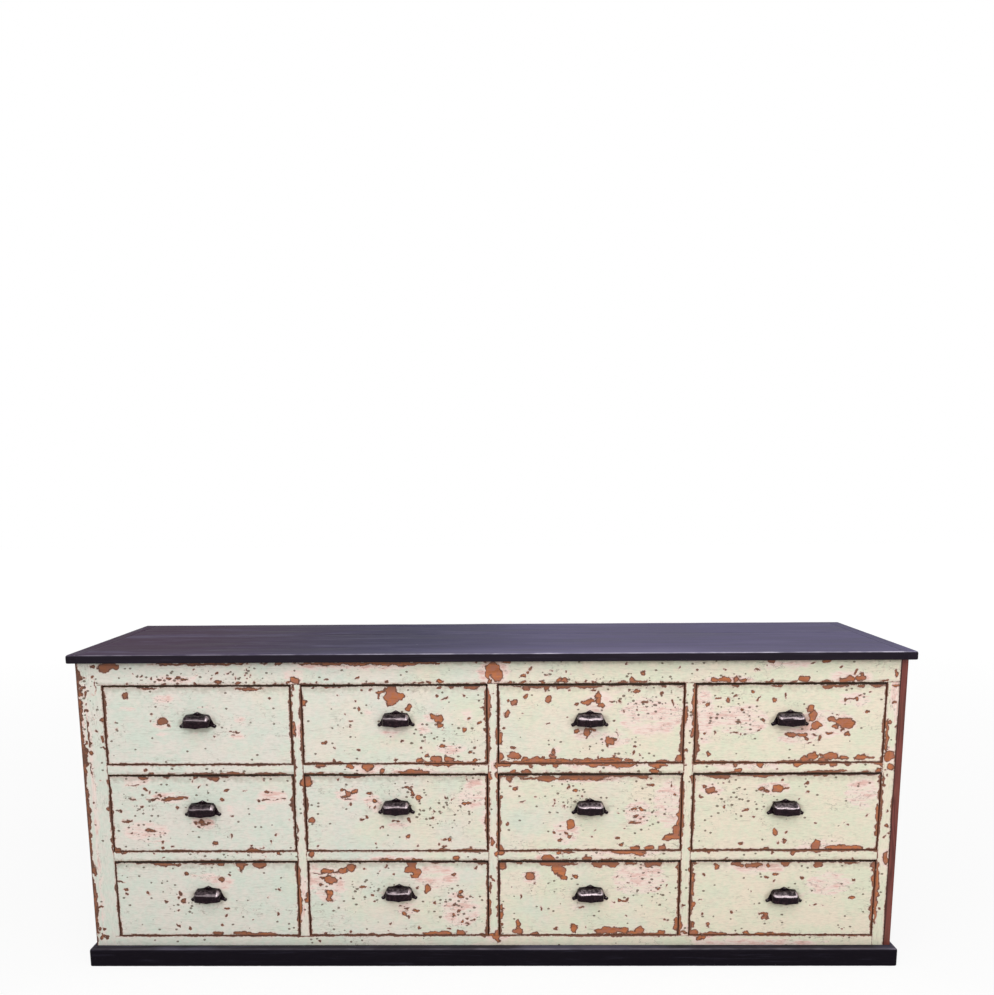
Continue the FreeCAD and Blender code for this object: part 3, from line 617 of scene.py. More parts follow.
# %% The two green finishes
GREEN_LEVEL = worn_green("worn_green_paint")
GREEN_UPRIGHT = worn_green("worn_green_paint_upright", upright=True)
print("green paint on level and on upright boards")

# %% [markdown]
# ## Painted boards
#
# The face of the counter is made of flat boards, painted over and over. The next cells build such
# a board in four steps: a fine grid, the waves and chips on it, the wear along its edges, and the
# Blender piece. All of it is worked out in millimetres and turned into metres at the end, and
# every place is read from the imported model, so nothing has to be lined up by hand.

# %% Places taken from the frame
MM = 0.001


def box_mm(node):
    low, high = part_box(node)
    return np.array(low) / MM, np.array(high) / MM


def spans(node):
    """Where the separate boards of a node start and end along X."""
    ends = sorted({round(v.co.x / MM, 2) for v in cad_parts[node].data.vertices})
    return list(zip(ends[0::2], ends[1::2]))


Y_FACE = box_mm("stile_left")[0][1]  # front of the face frame
DRAWERS = [(row, column) for row in (1, 2, 3) for column in (1, 2, 3, 4)]
Z_RAIL_UPPER = box_mm("cross_rails_upper")
Z_RAIL_LOWER = box_mm("cross_rails_lower")
print("front plane at y", Y_FACE, "mm")

# %% [markdown]
# ### A board with a fine face
#
# A painted board is a fine grid on its face, with closer rows along the arrises and a plain back.
# The grid is fine enough that each chip is part of the mesh: its corners know how deep inside a
# chip they lie, and they sink a little there, as wood does under a coat of paint. Subdividing
# the model's own board would give the same corners, but not the closer rows.

# %% A board with a fine face
GRID = 2.5  # millimetres between corners of the face
ARRIS_ROWS = (0.0, 0.5, 1.1, 1.9, 3.0)  # extra rows close to each edge


def graded(low, high, step=GRID, rows=ARRIS_ROWS):
    """Positions from low to high: close together at both ends, evenly spaced between them."""
    inner = np.linspace(low + rows[-1], high - rows[-1],
                        max(2, int(round((high - low - 2 * rows[-1]) / step)) + 1))
    return np.concatenate([low + np.array(rows[:-1]), inner, high - np.array(rows[-2::-1])])


def board_grid(low, high):
    """Corners and faces of a closed board: fine face at low Y, strips round it, plain back."""
    xs, zs = graded(low[0], high[0]), graded(low[2], high[2])
    nx, nz = len(xs), len(zs)
    gx, gz = np.meshgrid(xs, zs)
    corners = [np.stack([gx.ravel(), np.full(gx.size, low[1]), gz.ravel()], 1)]
    faces = []
    for j in range(nz - 1):
        for i in range(nx - 1):
            a = j * nx + i
            faces.append((a, a + 1, a + nx + 1, a + nx))
    ring = list(range(nx)) + [j * nx + nx - 1 for j in range(1, nz)]
    ring += [(nz - 1) * nx + i for i in range(nx - 2, -1, -1)]
    ring += [j * nx for j in range(nz - 2, 0, -1)]
    border = corners[0][ring]
    count = nx * nz
    depths = [low[1] + d for d in ARRIS_ROWS[1:] if low[1] + d < high[1] - 0.5] + [high[1]]
    for depth in depths:
        corners.append(np.column_stack([border[:, 0], np.full(len(ring), depth), border[:, 2]]))
        new = list(range(count, count + len(ring)))
        for k in range(len(ring)):
            m = (k + 1) % len(ring)
            faces.append((ring[m], ring[k], new[k], new[m]))
        ring = new
        count += len(new)
    faces.append(tuple(reversed(ring)))
    return np.concatenate(corners), faces


# %% [markdown]
# ### Waves, chips and rubbed places
#
# A chip is an ellipse seen through rippled glass: the corners are moved by a few sine waves before
# they are compared with it, which gives the lobed outline of flaking paint. Sines and a seeded
# random generator give the same chips each time the script runs. A rubbed place has no outline,
# so there the cover fades over a few millimetres.

# %% Waves, chips and rubbed places
def wave(position, seed, length=17.0):
    """A smooth, repeatable wobble between about -1 and 1 along a line, in millimetres."""
    total = np.zeros_like(position, dtype=float)
    for number in range(5):
        pitch = length * (0.45 + 0.37 * number)
        phase = 2.399 * (seed + 1) * (number + 1)
        total += np.sin(2 * math.pi * position / pitch + phase) / (1.6 + 0.35 * number)
    return total / 2.0


def ragged(position, seed, pitch):
    """Random notches along a line, mostly shallow and now and then deep, between 0 and 1."""
    dice = np.random.default_rng(100 * seed + int(pitch))
    knots = np.arange(-1200.0, 1200.0, pitch)
    knots += pitch * dice.uniform(-0.35, 0.35, len(knots))
    return np.interp(position, knots, dice.random(len(knots)) ** 2)


OUTSIDE = -20.0  # the depth of a spot far from any chip
# Ripples that bend an outline: (wavelength, direction in degrees, reach), millimetres
RIPPLES = ((33.0, 20, 1.4), (26.0, 110, 1.3), (19.0, 65, 0.9), (14.0, 155, 0.7), (11.0, 35, 0.4),
           (9.0, 95, 0.35))


def rippled(x, z, seed):
    """Points moved a little, so that an ellipse seen through them has a lobed outline."""
    out_x, out_z = x.copy(), z.copy()
    for number, (length, heading, reach) in enumerate(RIPPLES):
        angle = math.radians(heading)
        turn = 2 * math.pi * (x * math.cos(angle) + z * math.sin(angle)) / length
        out_x += reach * np.sin(turn + 1.7 * seed + number)
        out_z += 0.8 * reach * np.cos(1.13 * turn + 2.3 * seed + 2 * number)
    return out_x, out_z


def depth_in(x, z, shapes):
    """How deep points lie inside the nearest of some ellipses, negative outside, millimetres.
    An ellipse is (x, z, half length, half height) and, where it is tilted, the angle."""
    depth = np.full(np.shape(x), OUTSIDE)
    for cx, cz, a, b, *tilt in shapes:
        angle = math.radians(tilt[0]) if tilt else 0.0
        u = (x - cx) * math.cos(angle) + (z - cz) * math.sin(angle)
        v = (z - cz) * math.cos(angle) - (x - cx) * math.sin(angle)
        near = np.hypot(u / a, v / b)
        slope = np.maximum(np.hypot(u / a ** 2, v / b ** 2), 1e-6)
        depth = np.maximum(depth, np.minimum(near * (1 - near) / slope, min(a, b)))
    return depth


def soft_cover(x, z, shapes, fade=14.0):
    """From 1 well inside some ellipses down to 0 beyond their rim."""
    share = np.clip((depth_in(x, z, shapes) + fade) / (1.6 * fade), 0.0, 1.0)
    return share * share * (3 - 2 * share)


# %% [markdown]
# ### Wear along the edges
#
# Paint goes first along the arrises, where drawers rub: in long runs, with small notches inside
# them. Three lines of random notches, of 90, 24 and 7 mm pitch, are multiplied and added for
# that. The worn arris is also rounder, so the corners near it move on to an arc, and corners in
# a chip sink. The rim also paints shade into the gaps: a wide dark band at the edges beside the
# shaded gap above a drawer, and a thin dark line at the other gaps.

# %% Wear of one board
def edge_distances(x, z, low, high):
    """Distance to the left, right, bottom and top edge."""
    return [x - low[0], high[0] - x, z - low[2], high[2] - z]


LONG_RUNS, NOTCHES, CRUMBS = 90.0, 24.0, 7.0  # pitches of the wear along an edge
DEEPEST_WEAR = 1.6  # "bare" at the most, from wear along an edge
NO_EDGE = 60.0  # "rim" of a spot far from any edge
DIRT_AND_SHADE_RIM, DIRT_AND_SHADE_FADE = 1.8, 0.7  # "rim" in a darkened spot, of grime and painted shade, and its growth round it
# "rim" at an edge, and how fast it grows away from the edge and down into the gap beside it.
# A low rim is painted shade; at the shaded edge it grows slowly, so the dark band is wide.
OPEN_EDGE = (0.7, 1.7, 0.8)
SHADED_GAP_EDGE = {"top": (0.0, 0.4, 0.0), "bottom": (0.0, 0.9, 0.0)}
SIDE_NAMES = ("left", "right", "bottom", "top")


def worn_values(points, low, high, origin, wear, edges, seed, shade_and_dirt):
    """The stored values for one board. Edges gives how wide the left, right, bottom and top
    edges are worn, and None for an edge that joins another board. Shade_and_dirt names the edge
    at the gap above a drawer, where the rim grows slowly, so painted shade and grime lie wide
    there."""
    x, z = points[:, 0], points[:, 2]
    local_x, local_z = x - origin[0], z - origin[1]
    bare = depth_in(*rippled(local_x, local_z, seed), wear.get("chips", ()))
    rim = np.full(len(x), NO_EDGE)
    behind = points[:, 1] - low[1]
    sides = edge_distances(x, z, low, high)
    for number, (away, width) in enumerate(zip(sides, edges)):
        if width is None:
            continue
        along = z if number < 2 else x
        long_runs, notches, crumbs = (ragged(along, seed + number, pitch)
                                      for pitch in (LONG_RUNS, NOTCHES, CRUMBS))
        reach = width * (0.1 + notches + 0.9 * crumbs) * (0.45 + 1.4 * long_runs)
        bare = np.maximum(bare, np.minimum(reach - away, DEEPEST_WEAR))
        name = SIDE_NAMES[number]
        start, along_face, inward = SHADED_GAP_EDGE[name] if name == shade_and_dirt else OPEN_EDGE
        rim = np.minimum(rim, start + along_face * away + inward * np.minimum(behind, 2.5))
    bare = np.where(behind > 1.0, np.maximum(bare, 1.0 + behind), bare)
    # Darkened spots: grime round each pull with a painted shadow below it, and painted shade under
    # the top.
    if wear.get("darkening"):
        away = np.maximum(-depth_in(local_x, local_z, wear["darkening"]), 0.0)
        rim = np.minimum(rim, DIRT_AND_SHADE_RIM + DIRT_AND_SHADE_FADE * away)
    wear_and_highlight = soft_cover(local_x, local_z, wear.get("rubs", ()))
    specks = soft_cover(local_x, local_z, wear.get("specks", ()), 20.0)
    return {"bare": bare, "wear_and_highlight": wear_and_highlight, "specks": specks, "rim": rim}


# %% Eased arrises and sunk chips
CHIP_SINK, CHIP_SLOPE = 0.35, 1.2  # how deep a chip is, and over what width
SMALLEST_ARRIS, LARGEST_ARRIS = 0.05, 2.9  # radius of an eased arris


def ease_arris(points, low, high, edges, bare, seed, radius=0.8, closed=()):
    """Round the front arrises, more where they are worn, and sink the chips."""
    out = points.copy()
    x, y, z = points.T
    sides = edge_distances(x, z, low, high)
    behind = y - low[1]
    free = np.ones(len(x))
    for start, end in closed:
        free = np.where((z > start - 1) & (z < end + 1), 0.0, free)
    pull = np.zeros((len(x), 3))
    reach = np.zeros(len(x))
    for number, (away, width) in enumerate(zip(sides, edges)):
        if width is None:
            continue
        along = z if number < 2 else x
        r = radius * (0.8 + 0.8 * ragged(along, seed + 7 * number, 11.0)) * free
        r = np.clip(r, SMALLEST_ARRIS, LARGEST_ARRIS)
        inset = np.clip(r - away, 0.0, None)
        sign = (-1, 1, -1, 1)[number]
        pull[:, 0 if number < 2 else 2] += sign * inset
        reach = np.maximum(reach, np.where(inset > 0, r, 0.0))
    pull[:, 1] = -np.clip(reach - behind, 0.0, None)
    length = np.linalg.norm(pull, axis=1)
    largest = np.abs(pull).max(axis=1)
    active = (length > 1e-6) & (pull[:, 1] < 0)
    share = np.where(active, largest / np.maximum(length, 1e-6) - 1.0, 0.0)
    out += pull * share[:, None]
    out[:, 1] += CHIP_SINK * np.clip(bare / CHIP_SLOPE, 0.0, 1.0) * (behind < 0.05)
    return out


# %% [markdown]
# ### From numbers to a Blender piece
#
# One piece can hold several boards. Its mesh also carries four values on each corner, which the
# paint's material reads, so the paint knows where the chips are without any image. Each piece
# then says which node of the model it replaces and which body it rides on, so that a drawer
# front goes with its drawer.

# %% From numbers to a Blender piece
VALUES = ("bare", "wear_and_highlight", "specks", "rim")
SHARP_ANGLE = 38.0  # degrees between faces that still shade as one


def make_piece(name, parts, materials, body, nodes):
    """One mesh from several parts: (corners in millimetres, faces, material number, values)."""
    corners, faces, numbers, start = [], [], [], 0
    values = {key: [] for key in VALUES}
    for points, part_faces, number, part_values in parts:
        corners.append(points)
        faces += [tuple(start + i for i in face) for face in part_faces]
        numbers += [number] * len(part_faces)
        for key, column in values.items():
            column.append(part_values.get(key, np.zeros(len(points))))
        start += len(points)
    mesh = bpy.data.meshes.new(name)
    mesh.from_pydata((np.concatenate(corners) * MM).tolist(), [], faces)
    for material in materials:
        mesh.materials.append(material)
    mesh.polygons.foreach_set("material_index", numbers)
    for key, columns in values.items():
        stored = mesh.attributes.new(key, "FLOAT", "POINT")
        stored.data.foreach_set("value", np.concatenate(columns).astype(np.float32))
    shaper = bmesh.new()
    shaper.from_mesh(mesh)
    bmesh.ops.recalc_face_normals(shaper, faces=shaper.faces)
    shaper.to_mesh(mesh)
    shaper.free()
    mesh.shade_smooth()
    mesh.set_sharp_from_angle(angle=math.radians(SHARP_ANGLE))
    mesh.update()
    piece = bpy.data.objects.new(name, mesh)
    bpy.context.scene.collection.objects.link(piece)
    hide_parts(*nodes)
    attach(piece, body)
    return piece


def painted_part(low, high, origin, wear, edges, seed, closed=(), shade_and_dirt="bottom"):
    """A painted board between two corners. Closed lists the heights where nothing is eased."""
    points, faces = board_grid(low, high)
    values = worn_values(points, low, high, origin, wear, edges, seed, shade_and_dirt)
    points = ease_arris(points, low, high, edges, values["bare"], seed, closed=closed)
    return points, faces, 0, values


def prism(outline, x0, x1):
    """A solid with a YZ outline, run along X."""
    count = len(outline)
    points = np.array([(x, y, z) for x in (x0, x1) for y, z in outline], float)
    faces = [tuple(range(count)), tuple(range(2 * count - 1, count - 1, -1))]
    faces += [(i, (i + 1) % count, count + (i + 1) % count, count + i) for i in range(count)]
    return points, faces, 1, {}

# %% [markdown]
# ## Where the paint is worn
#
# Wear follows use: the edges that rub in their openings, the paint round each pull, and places
# where something once stood or leaned. A random pattern alone would look like wallpaper, so the
# larger chips are listed one by one. Each is an ellipse: its middle from the middle of the drawer
# front, half its length and half its height in millimetres, and a tilt where it has one. "rubs"
# are softer areas where the top coat is thin, and "specks" are areas with more small knocks.

# %% Wear on the drawer fronts, top row
WEAR = {}
WEAR["r1c1"] = {"chips": [
    (-180, 79, 8, 8), (-90, 11, 14, 9), (-76, 0, 5, 5), (-117, 29, 4, 2), (-119, 12, 3, 2),
    (-209, 9, 3, 3), (-208, -7, 4, 2), (-125, 97, 28, 3), (134, 94, 36, 4), (185, 70, 5, 3),
    (90, -17, 14, 1.5), (90, -25, 5, 1.5), (38, -27, 3, 2), (-176, -100, 56, 2)],
    "rubs": [(-94, -23, 13, 6), (-90, 5, 24, 16), (13, 48, 15, 5), (105, 18, 15, 10),
             (100, -28, 20, 8), (-85, 68, 24, 10), (-180, 45, 20, 6)]}
WEAR["r1c2"] = {"chips": [
    (-8, 90, 16, 14), (-4, 72, 20, 18), (15, 74, 10, 11), (-10, 56, 11, 8), (-36, 84, 12, 5, 5),
    (-39, 74, 4, 7), (36, 45, 8, 10, -15), (98, 21, 10, 7, -30), (112, 16, 14, 10, -30),
    (114, -1, 8, 8), (123, -10, 3, 2), (176, -13, 7, 8), (176, 76, 5, 3), (108, 75, 5, 4),
    (129, 67, 9, 2.5, 25), (-84, 90, 4, 3), (-59, 90, 4, 2.5), (-88, 42, 3, 7), (-97, 62, 3, 4),
    (-109, 11, 6, 3), (-115, -5, 3, 2), (-180, -46, 7, 4, 10), (-92, -66, 5, 3),
    (18, -43, 5, 4), (118, -56, 8, 6), (79, -79, 4, 5), (192, -71, 6, 4), (187, 15, 3, 5, -30),
    (214, 4, 4, 5), (76, -43, 1.5, 5), (202, -61, 3, 2), (-141, 77, 3, 2), (-157, -92, 3, 3),
    (3, -91, 5, 2), (-152, -60, 2, 5, 30), (-205, 97, 3, 3), (-125, 27, 3, 3),
    (67, -60, 3, 2.5), (221, 46, 4, 2.5), (64, -92, 11, 6), (103, -90, 15, 10),
    (137, -90, 14, 8), (131, -99, 80, 4), (204, -92, 8, 5), (232, -78, 5, 14),
    (197, 96, 20, 6), (114, 97, 5, 4), (145, 97, 5, 4), (-166, 101, 12, 3), (-152, 98, 6, 3),
    (-136, 98, 4, 3), (-228, 58, 8, 9), (-233, 76, 4, 8), (-236, -30, 5, 22)],
    "rubs": [(72, -9, 15, 16), (87, 20, 10, 12), (-66, 32, 10, 5), (-13, -21, 20, 8),
             (140, -60, 40, 16), (186, 24, 16, 14)],
    "specks": [(130, -40, 90, 50)]}
WEAR["r1c3"] = {"chips": [
    (-163, 94, 10, 7), (-135, 96, 8, 4), (-112, 93, 8, 6), (-72, 96, 14, 5), (-10, 97, 40, 4),
    (-85, 99, 115, 3), (-164, 72, 5, 6), (-207, 61, 5, 5), (-193, 57, 9, 7), (-107, 65, 9, 10),
    (-211, 28, 8, 9), (-57, 87, 4, 3), (-36, 52, 6, 4), (-8, 57, 18, 7, 10), (17, 74, 8, 10),
    (17, 60, 7, 8), (26, 49, 10, 7, -20), (3, 87, 7, 2), (114, 84, 8, 6), (95, 87, 3, 3),
    (178, 76, 2, 6), (133, 56, 10, 3, 15), (204, 57, 3, 8), (62, 56, 2, 4), (51, 58, 4, 3),
    (72, 58, 3, 3), (117, 37, 5, 3), (83, 34, 3, 3), (178, 97, 6, 3), (222, 95, 8, 2),
    (-172, 27, 2, 2), (-107, 2, 3, 2), (-217, -10, 4, 3), (-58, 19, 3, 2), (61, 8, 2, 2),
    (-34, -19, 8, 7), (-10, -21, 9, 12), (4, -15, 8, 4), (-13, -35, 4, 3), (48, -43, 12, 11),
    (62, -42, 7, 4), (44, -57, 4, 5), (68, -26, 1.5, 9), (-230, -37, 7, 16),
    (-233, -15, 3, 10), (-194, -81, 17, 11), (-196, -61, 6, 4), (-227, -85, 8, 10),
    (-168, -90, 10, 6), (-139, -88, 8, 5), (-117, -85, 4, 3), (-92, -74, 6, 5),
    (-94, -65, 4, 3), (-96, -84, 10, 5), (-60, -99, 180, 5), (97, -93, 10, 5),
    (-118, -93, 58, 5), (-28, -94, 62, 4), (48, -92, 36, 5),
    (181, -98, 14, 4), (225, -90, 12, 10), (107, -75, 4, 4), (126, -80, 3, 4),
    (112, -58, 4, 3), (61, -84, 4, 3), (22, -88, 3, 2)],
    "rubs": [(-92, -70, 14, 12), (20, 55, 34, 22), (60, -40, 40, 22), (150, 20, 80, 50),
             (-10, -26, 30, 16)],
    "specks": [(150, 60, 80, 40), (60, -60, 80, 30)]}
WEAR["r1c4"] = {"chips": [
    (-207, 50, 5, 5), (-218, 56, 4, 2), (-156, 61, 5, 7), (-138, 70, 4, 3), (-182, 66, 8, 3),
    (-96, 83, 5, 5), (-80, 63, 7, 2.5, 35), (-40, 59, 7, 6), (-13, 71, 3, 8),
    (-122, 35, 4, 5), (-66, 9, 5, 6), (-129, 4, 9, 3, -15), (-213, -25, 3, 4),
    (-186, -23, 3, 5), (-138, -24, 8, 1.5), (-121, -26, 3, 2), (-201, -79, 6, 5),
    (-76, -17, 3, 3), (-140, 97, 10, 4), (-44, 98, 6, 3), (-29, 97, 7, 5), (90, 94, 12, 6),
    (109, 96, 14, 5), (128, 97, 12, 4), (174, 96, 8, 5), (215, 96, 18, 3), (138, 61, 4, 4),
    (152, 63, 12, 3, 8), (165, 63, 5, 5), (174, 71, 3, 4, -30), (200, 79, 3, 2),
    (192, 29, 6, 4), (119, 22, 3, 2), (50, 38, 8, 9), (42, 37, 4, 4), (57, 20, 9, 15, -15),
    (65, -6, 10, 11), (74, -5, 8, 4), (54, -15, 3, 4), (104, 10, 12, 7), (125, 5, 14, 9),
    (143, 0, 20, 16), (115, -9, 10, 5), (145, -28, 7, 5), (132, -18, 5, 4), (99, -25, 10, 4),
    (5, -29, 14, 6), (32, -30, 14, 6), (43, -39, 4, 5), (76, -37, 4, 8), (63, -30, 5, 3),
    (50, -51, 6, 2), (42, -93, 12, 8), (62, -85, 13, 10), (84, -82, 5, 5),
    (106, -85, 21, 10), (87, -94, 12, 6), (140, -90, 14, 6), (185, -88, 18, 7),
    (171, -91, 6, 4), (206, -90, 10, 3), (5, -99, 40, 3), (235, -10, 4, 12)],
    "rubs": [(-212, 20, 24, 70), (-200, 62, 36, 6), (-125, 10, 70, 40), (95, 0, 70, 34),
             (160, 60, 40, 16), (20, -35, 50, 18)],
    "specks": [(-124, 10, 60, 38), (-150, 20, 50, 40)]}

# %% Wear on the drawer fronts, middle row
WEAR["r2c1"] = {"chips": [
    (-148, 96, 12, 5), (-91, 99, 14, 3), (31, 100, 50, 3), (31, 93, 15, 5), (40, 91, 6, 4),
    (-13, 97, 6, 3), (-177, 76, 15, 1.5), (-144, 66, 6, 5, -40), (-136, 57, 3, 3),
    (-108, 49, 6, 5), (-76, 40, 30, 6, 3), (-50, 42, 15, 3, 10), (-135, 37, 12, 2),
    (-119, 39, 12, 2), (-64, 16, 5, 5), (66, 61, 8, 4, 15), (112, 62, 4, 2),
    (167, 58, 8, 5), (181, 56, 2, 2), (-6, 72, 3, 3), (-22, 88, 3, 3), (160, 90, 3, 2),
    (51, 38, 6, 6), (-157, 20, 3, 3), (-216, 8, 4, 4), (-180, 38, 10, 2), (146, 33, 4, 4),
    (178, 37, 30, 1.5), (209, 40, 8, 2), (73, -6, 4, 3), (-20, -25, 5, 4), (-5, -22, 8, 5),
    (12, -25, 7, 4), (-15, -35, 5, 4), (0, -30, 8, 4), (-140, -45, 14, 4),
    (-196, -20, 15, 3), (-188, -52, 3, 3), (223, -16, 3, 3), (188, -56, 4, 4),
    (171, -77, 3, 3), (70, -60, 3, 6), (26, -80, 8, 6), (-110, -77, 4, 3),
    (-111, -92, 5, 5), (-85, -89, 4, 2.5), (123, -88, 3, 3), (124, -99, 20, 5),
    (-229, -99, 12, 6), (149, -93, 8, 1.5)],
    "rubs": [(-166, 87, 30, 10), (152, 16, 14, 8), (68, 13, 8, 8), (-1, -26, 28, 16),
             (-150, -50, 60, 30), (180, 45, 40, 20), (-80, 42, 50, 14)],
    "specks": [(-140, 30, 60, 30), (-150, -45, 60, 30)]}
WEAR["r2c2"] = {"chips": [
    (-227, 85, 12, 16), (-105, 99, 28, 5), (-147, 90, 3, 3), (-135, 62, 8, 4),
    (-124, 52, 10, 8), (-107, 58, 8, 5), (-133, 44, 9, 3), (-122, 37, 10, 3),
    (-119, 24, 5, 4), (-69, 51, 6, 5), (-57, 32, 4, 6), (-68, 15, 2.5, 6), (-56, 16, 3, 5),
    (29, 69, 6, 4), (39, 58, 4, 10, 30), (40, 69, 3, 3), (42, 49, 5, 4), (57, 41, 9, 6),
    (59, 32, 5, 3), (125, 40, 4, 3), (144, 37, 3, 3), (95, 7, 3, 2), (114, 4, 3, 2),
    (93, -13, 3, 3), (181, 94, 2, 6), (212, 90, 6, 2), (200, 32, 4, 3), (179, 26, 12, 5),
    (-219, -18, 8, 9), (-89, -16, 6, 4), (-78, -11, 3, 3), (31, -18, 3, 7), (-8, -22, 5, 2),
    (4, -22, 7, 3), (-37, -38, 4, 3, 30), (28, -63, 8, 5), (-205, -88, 3, 4),
    (-56, -82, 3, 3), (55, -87, 3, 3), (120, -71, 5, 4), (134, -73, 7, 5), (108, -85, 4, 3),
    (123, -88, 5, 4), (-222, -102, 16, 5), (118, -99, 15, 3), (181, -98, 14, 4),
    (192, -91, 4, 3)],
    "rubs": [(-125, 50, 30, 20), (179, 37, 24, 24), (226, -21, 10, 30), (6, -32, 28, 10),
             (200, 50, 30, 40), (-60, 30, 20, 26)],
    "specks": [(40, 50, 50, 36), (120, 0, 70, 40)]}
WEAR["r2c3"] = {"chips": [
    (-198, 98, 38, 4), (-205, 90, 9, 8), (-110, 91, 25, 9), (-45, 95, 38, 6),
    (5, 93, 36, 5), (78, 98, 25, 4), (134, 94, 15, 6), (60, 99, 100, 3), (-203, 70, 4, 3),
    (-190, 65, 5, 5), (-227, 41, 4, 7, -20), (-38, 60, 5, 6, -40), (-55, 66, 3, 3),
    (-18, 44, 4, 3), (-92, 34, 4, 3), (-91, 26, 3, 4), (-94, 18, 2, 2), (-67, 16, 4, 3),
    (-175, 29, 8, 1.5), (-141, 41, 2, 2), (154, 90, 4, 2), (153, 73, 9, 3, -10),
    (206, 73, 3, 6), (215, 48, 4, 3), (114, 9, 7, 3), (131, 9, 8, 5), (118, -9, 7, 4),
    (115, -27, 16, 3), (-49, -32, 10, 14), (-46, -21, 4, 4), (-60, -55, 7, 3, -20),
    (-52, -63, 6, 5), (-77, -73, 6, 5), (-92, -51, 5, 4), (-211, -30, 5, 6, -45),
    (228, -15, 5, 28), (222, -50, 12, 18), (212, -66, 22, 9), (197, -70, 10, 5),
    (4, -63, 3, 3), (71, -67, 5, 4), (82, -86, 5, 4), (90, -43, 3, 2), (75, -2, 3, 2),
    (14, -48, 3, 2), (-230, -95, 8, 10), (-90, -101, 38, 3), (118, -95, 14, 6),
    (153, -95, 12, 7), (187, -95, 10, 7), (-235, -40, 5, 20),
    (-62, 90, 72, 3), (8, 88, 46, 2.5), (-150, 91, 30, 3)],
    "rubs": [(-10, 90, 80, 9), (125, 0, 36, 34), (200, 20, 40, 60), (-60, -50, 34, 34)],
    "specks": [(-60, 40, 60, 40), (130, 0, 50, 40)]}
WEAR["r2c4"] = {"chips": [
    (-171, 96, 30, 7), (-110, 99, 20, 3), (-60, 97, 26, 5), (78, 98, 10, 3), (96, 97, 6, 3),
    (-208, 69, 5, 6), (-193, 59, 13, 8), (-180, 56, 6, 3), (-65, 61, 9, 5), (-50, 57, 8, 3),
    (-21, 63, 13, 11), (-29, 57, 8, 5), (-1, 63, 10, 3, 10), (-12, 85, 5, 3, 30),
    (49, 77, 5, 5), (52, 55, 3, 4), (-218, 42, 6, 3, -20), (-163, 76, 3, 3),
    (-155, 15, 5, 5), (-100, 7, 10, 3, 20), (-79, -11, 4, 3), (32, 36, 2, 2),
    (187, 19, 2, 2), (207, -10, 5, 2.5, 25), (78, -28, 3, 3), (148, -29, 2, 2),
    (159, -35, 4, 2), (-24, -54, 6, 11, 10), (-1, -77, 5, 8, -35), (-15, -82, 3, 4),
    (4, -54, 3, 4), (-110, -84, 5, 3), (82, -88, 14, 14), (152, -95, 50, 7),
    (-47, -96, 8, 5), (-141, -101, 8, 3), (20, -102, 15, 3), (234, -6, 6, 25),
    (235, -46, 7, 18), (-238, 82, 4, 14), (-235, -46, 4, 8)],
    "rubs": [(-190, 60, 30, 16), (-30, 62, 40, 16), (100, -90, 60, 12), (190, 50, 40, 40)],
    "specks": [(-100, 30, 90, 40)]}

# %% Wear on the drawer fronts, bottom row
WEAR["r3c1"] = {"chips": [
    (-113, 96, 28, 5), (-88, 95, 16, 4), (-71, 94, 5, 4), (1, 97, 20, 3), (38, 96, 10, 5),
    (92, 95, 18, 6), (92, 87, 9, 9), (91, 79, 4, 6), (137, 94, 18, 9), (-54, 69, 6, 5),
    (38, 54, 10, 6), (60, 67, 4, 3), (-212, 28, 6, 5), (-156, 16, 7, 5, -30),
    (-214, 13, 3, 3), (-110, -6, 6, 3), (-226, 49, 10, 2.5, -10), (-72, 16, 2.5, 6),
    (-76, 5, 3, 3), (-64, -5, 6, 6), (-80, -33, 3, 2), (-80, -74, 3, 7, 35),
    (-50, -82, 5, 4), (48, -27, 5, 4), (48, -46, 4, 4), (33, -73, 4, 3), (188, 26, 5, 4),
    (182, -43, 4, 5), (156, 2, 3, 2), (115, -59, 3, 2), (20, -96, 15, 5), (81, -96, 18, 7),
    (131, -98, 45, 5), (-198, -100, 10, 3), (237, -30, 4, 50)],
    "rubs": [(6, 60, 25, 12), (-32, 60, 10, 6), (-68, 5, 14, 18), (40, 50, 30, 20)],
    "specks": [(-60, 0, 50, 40)]}
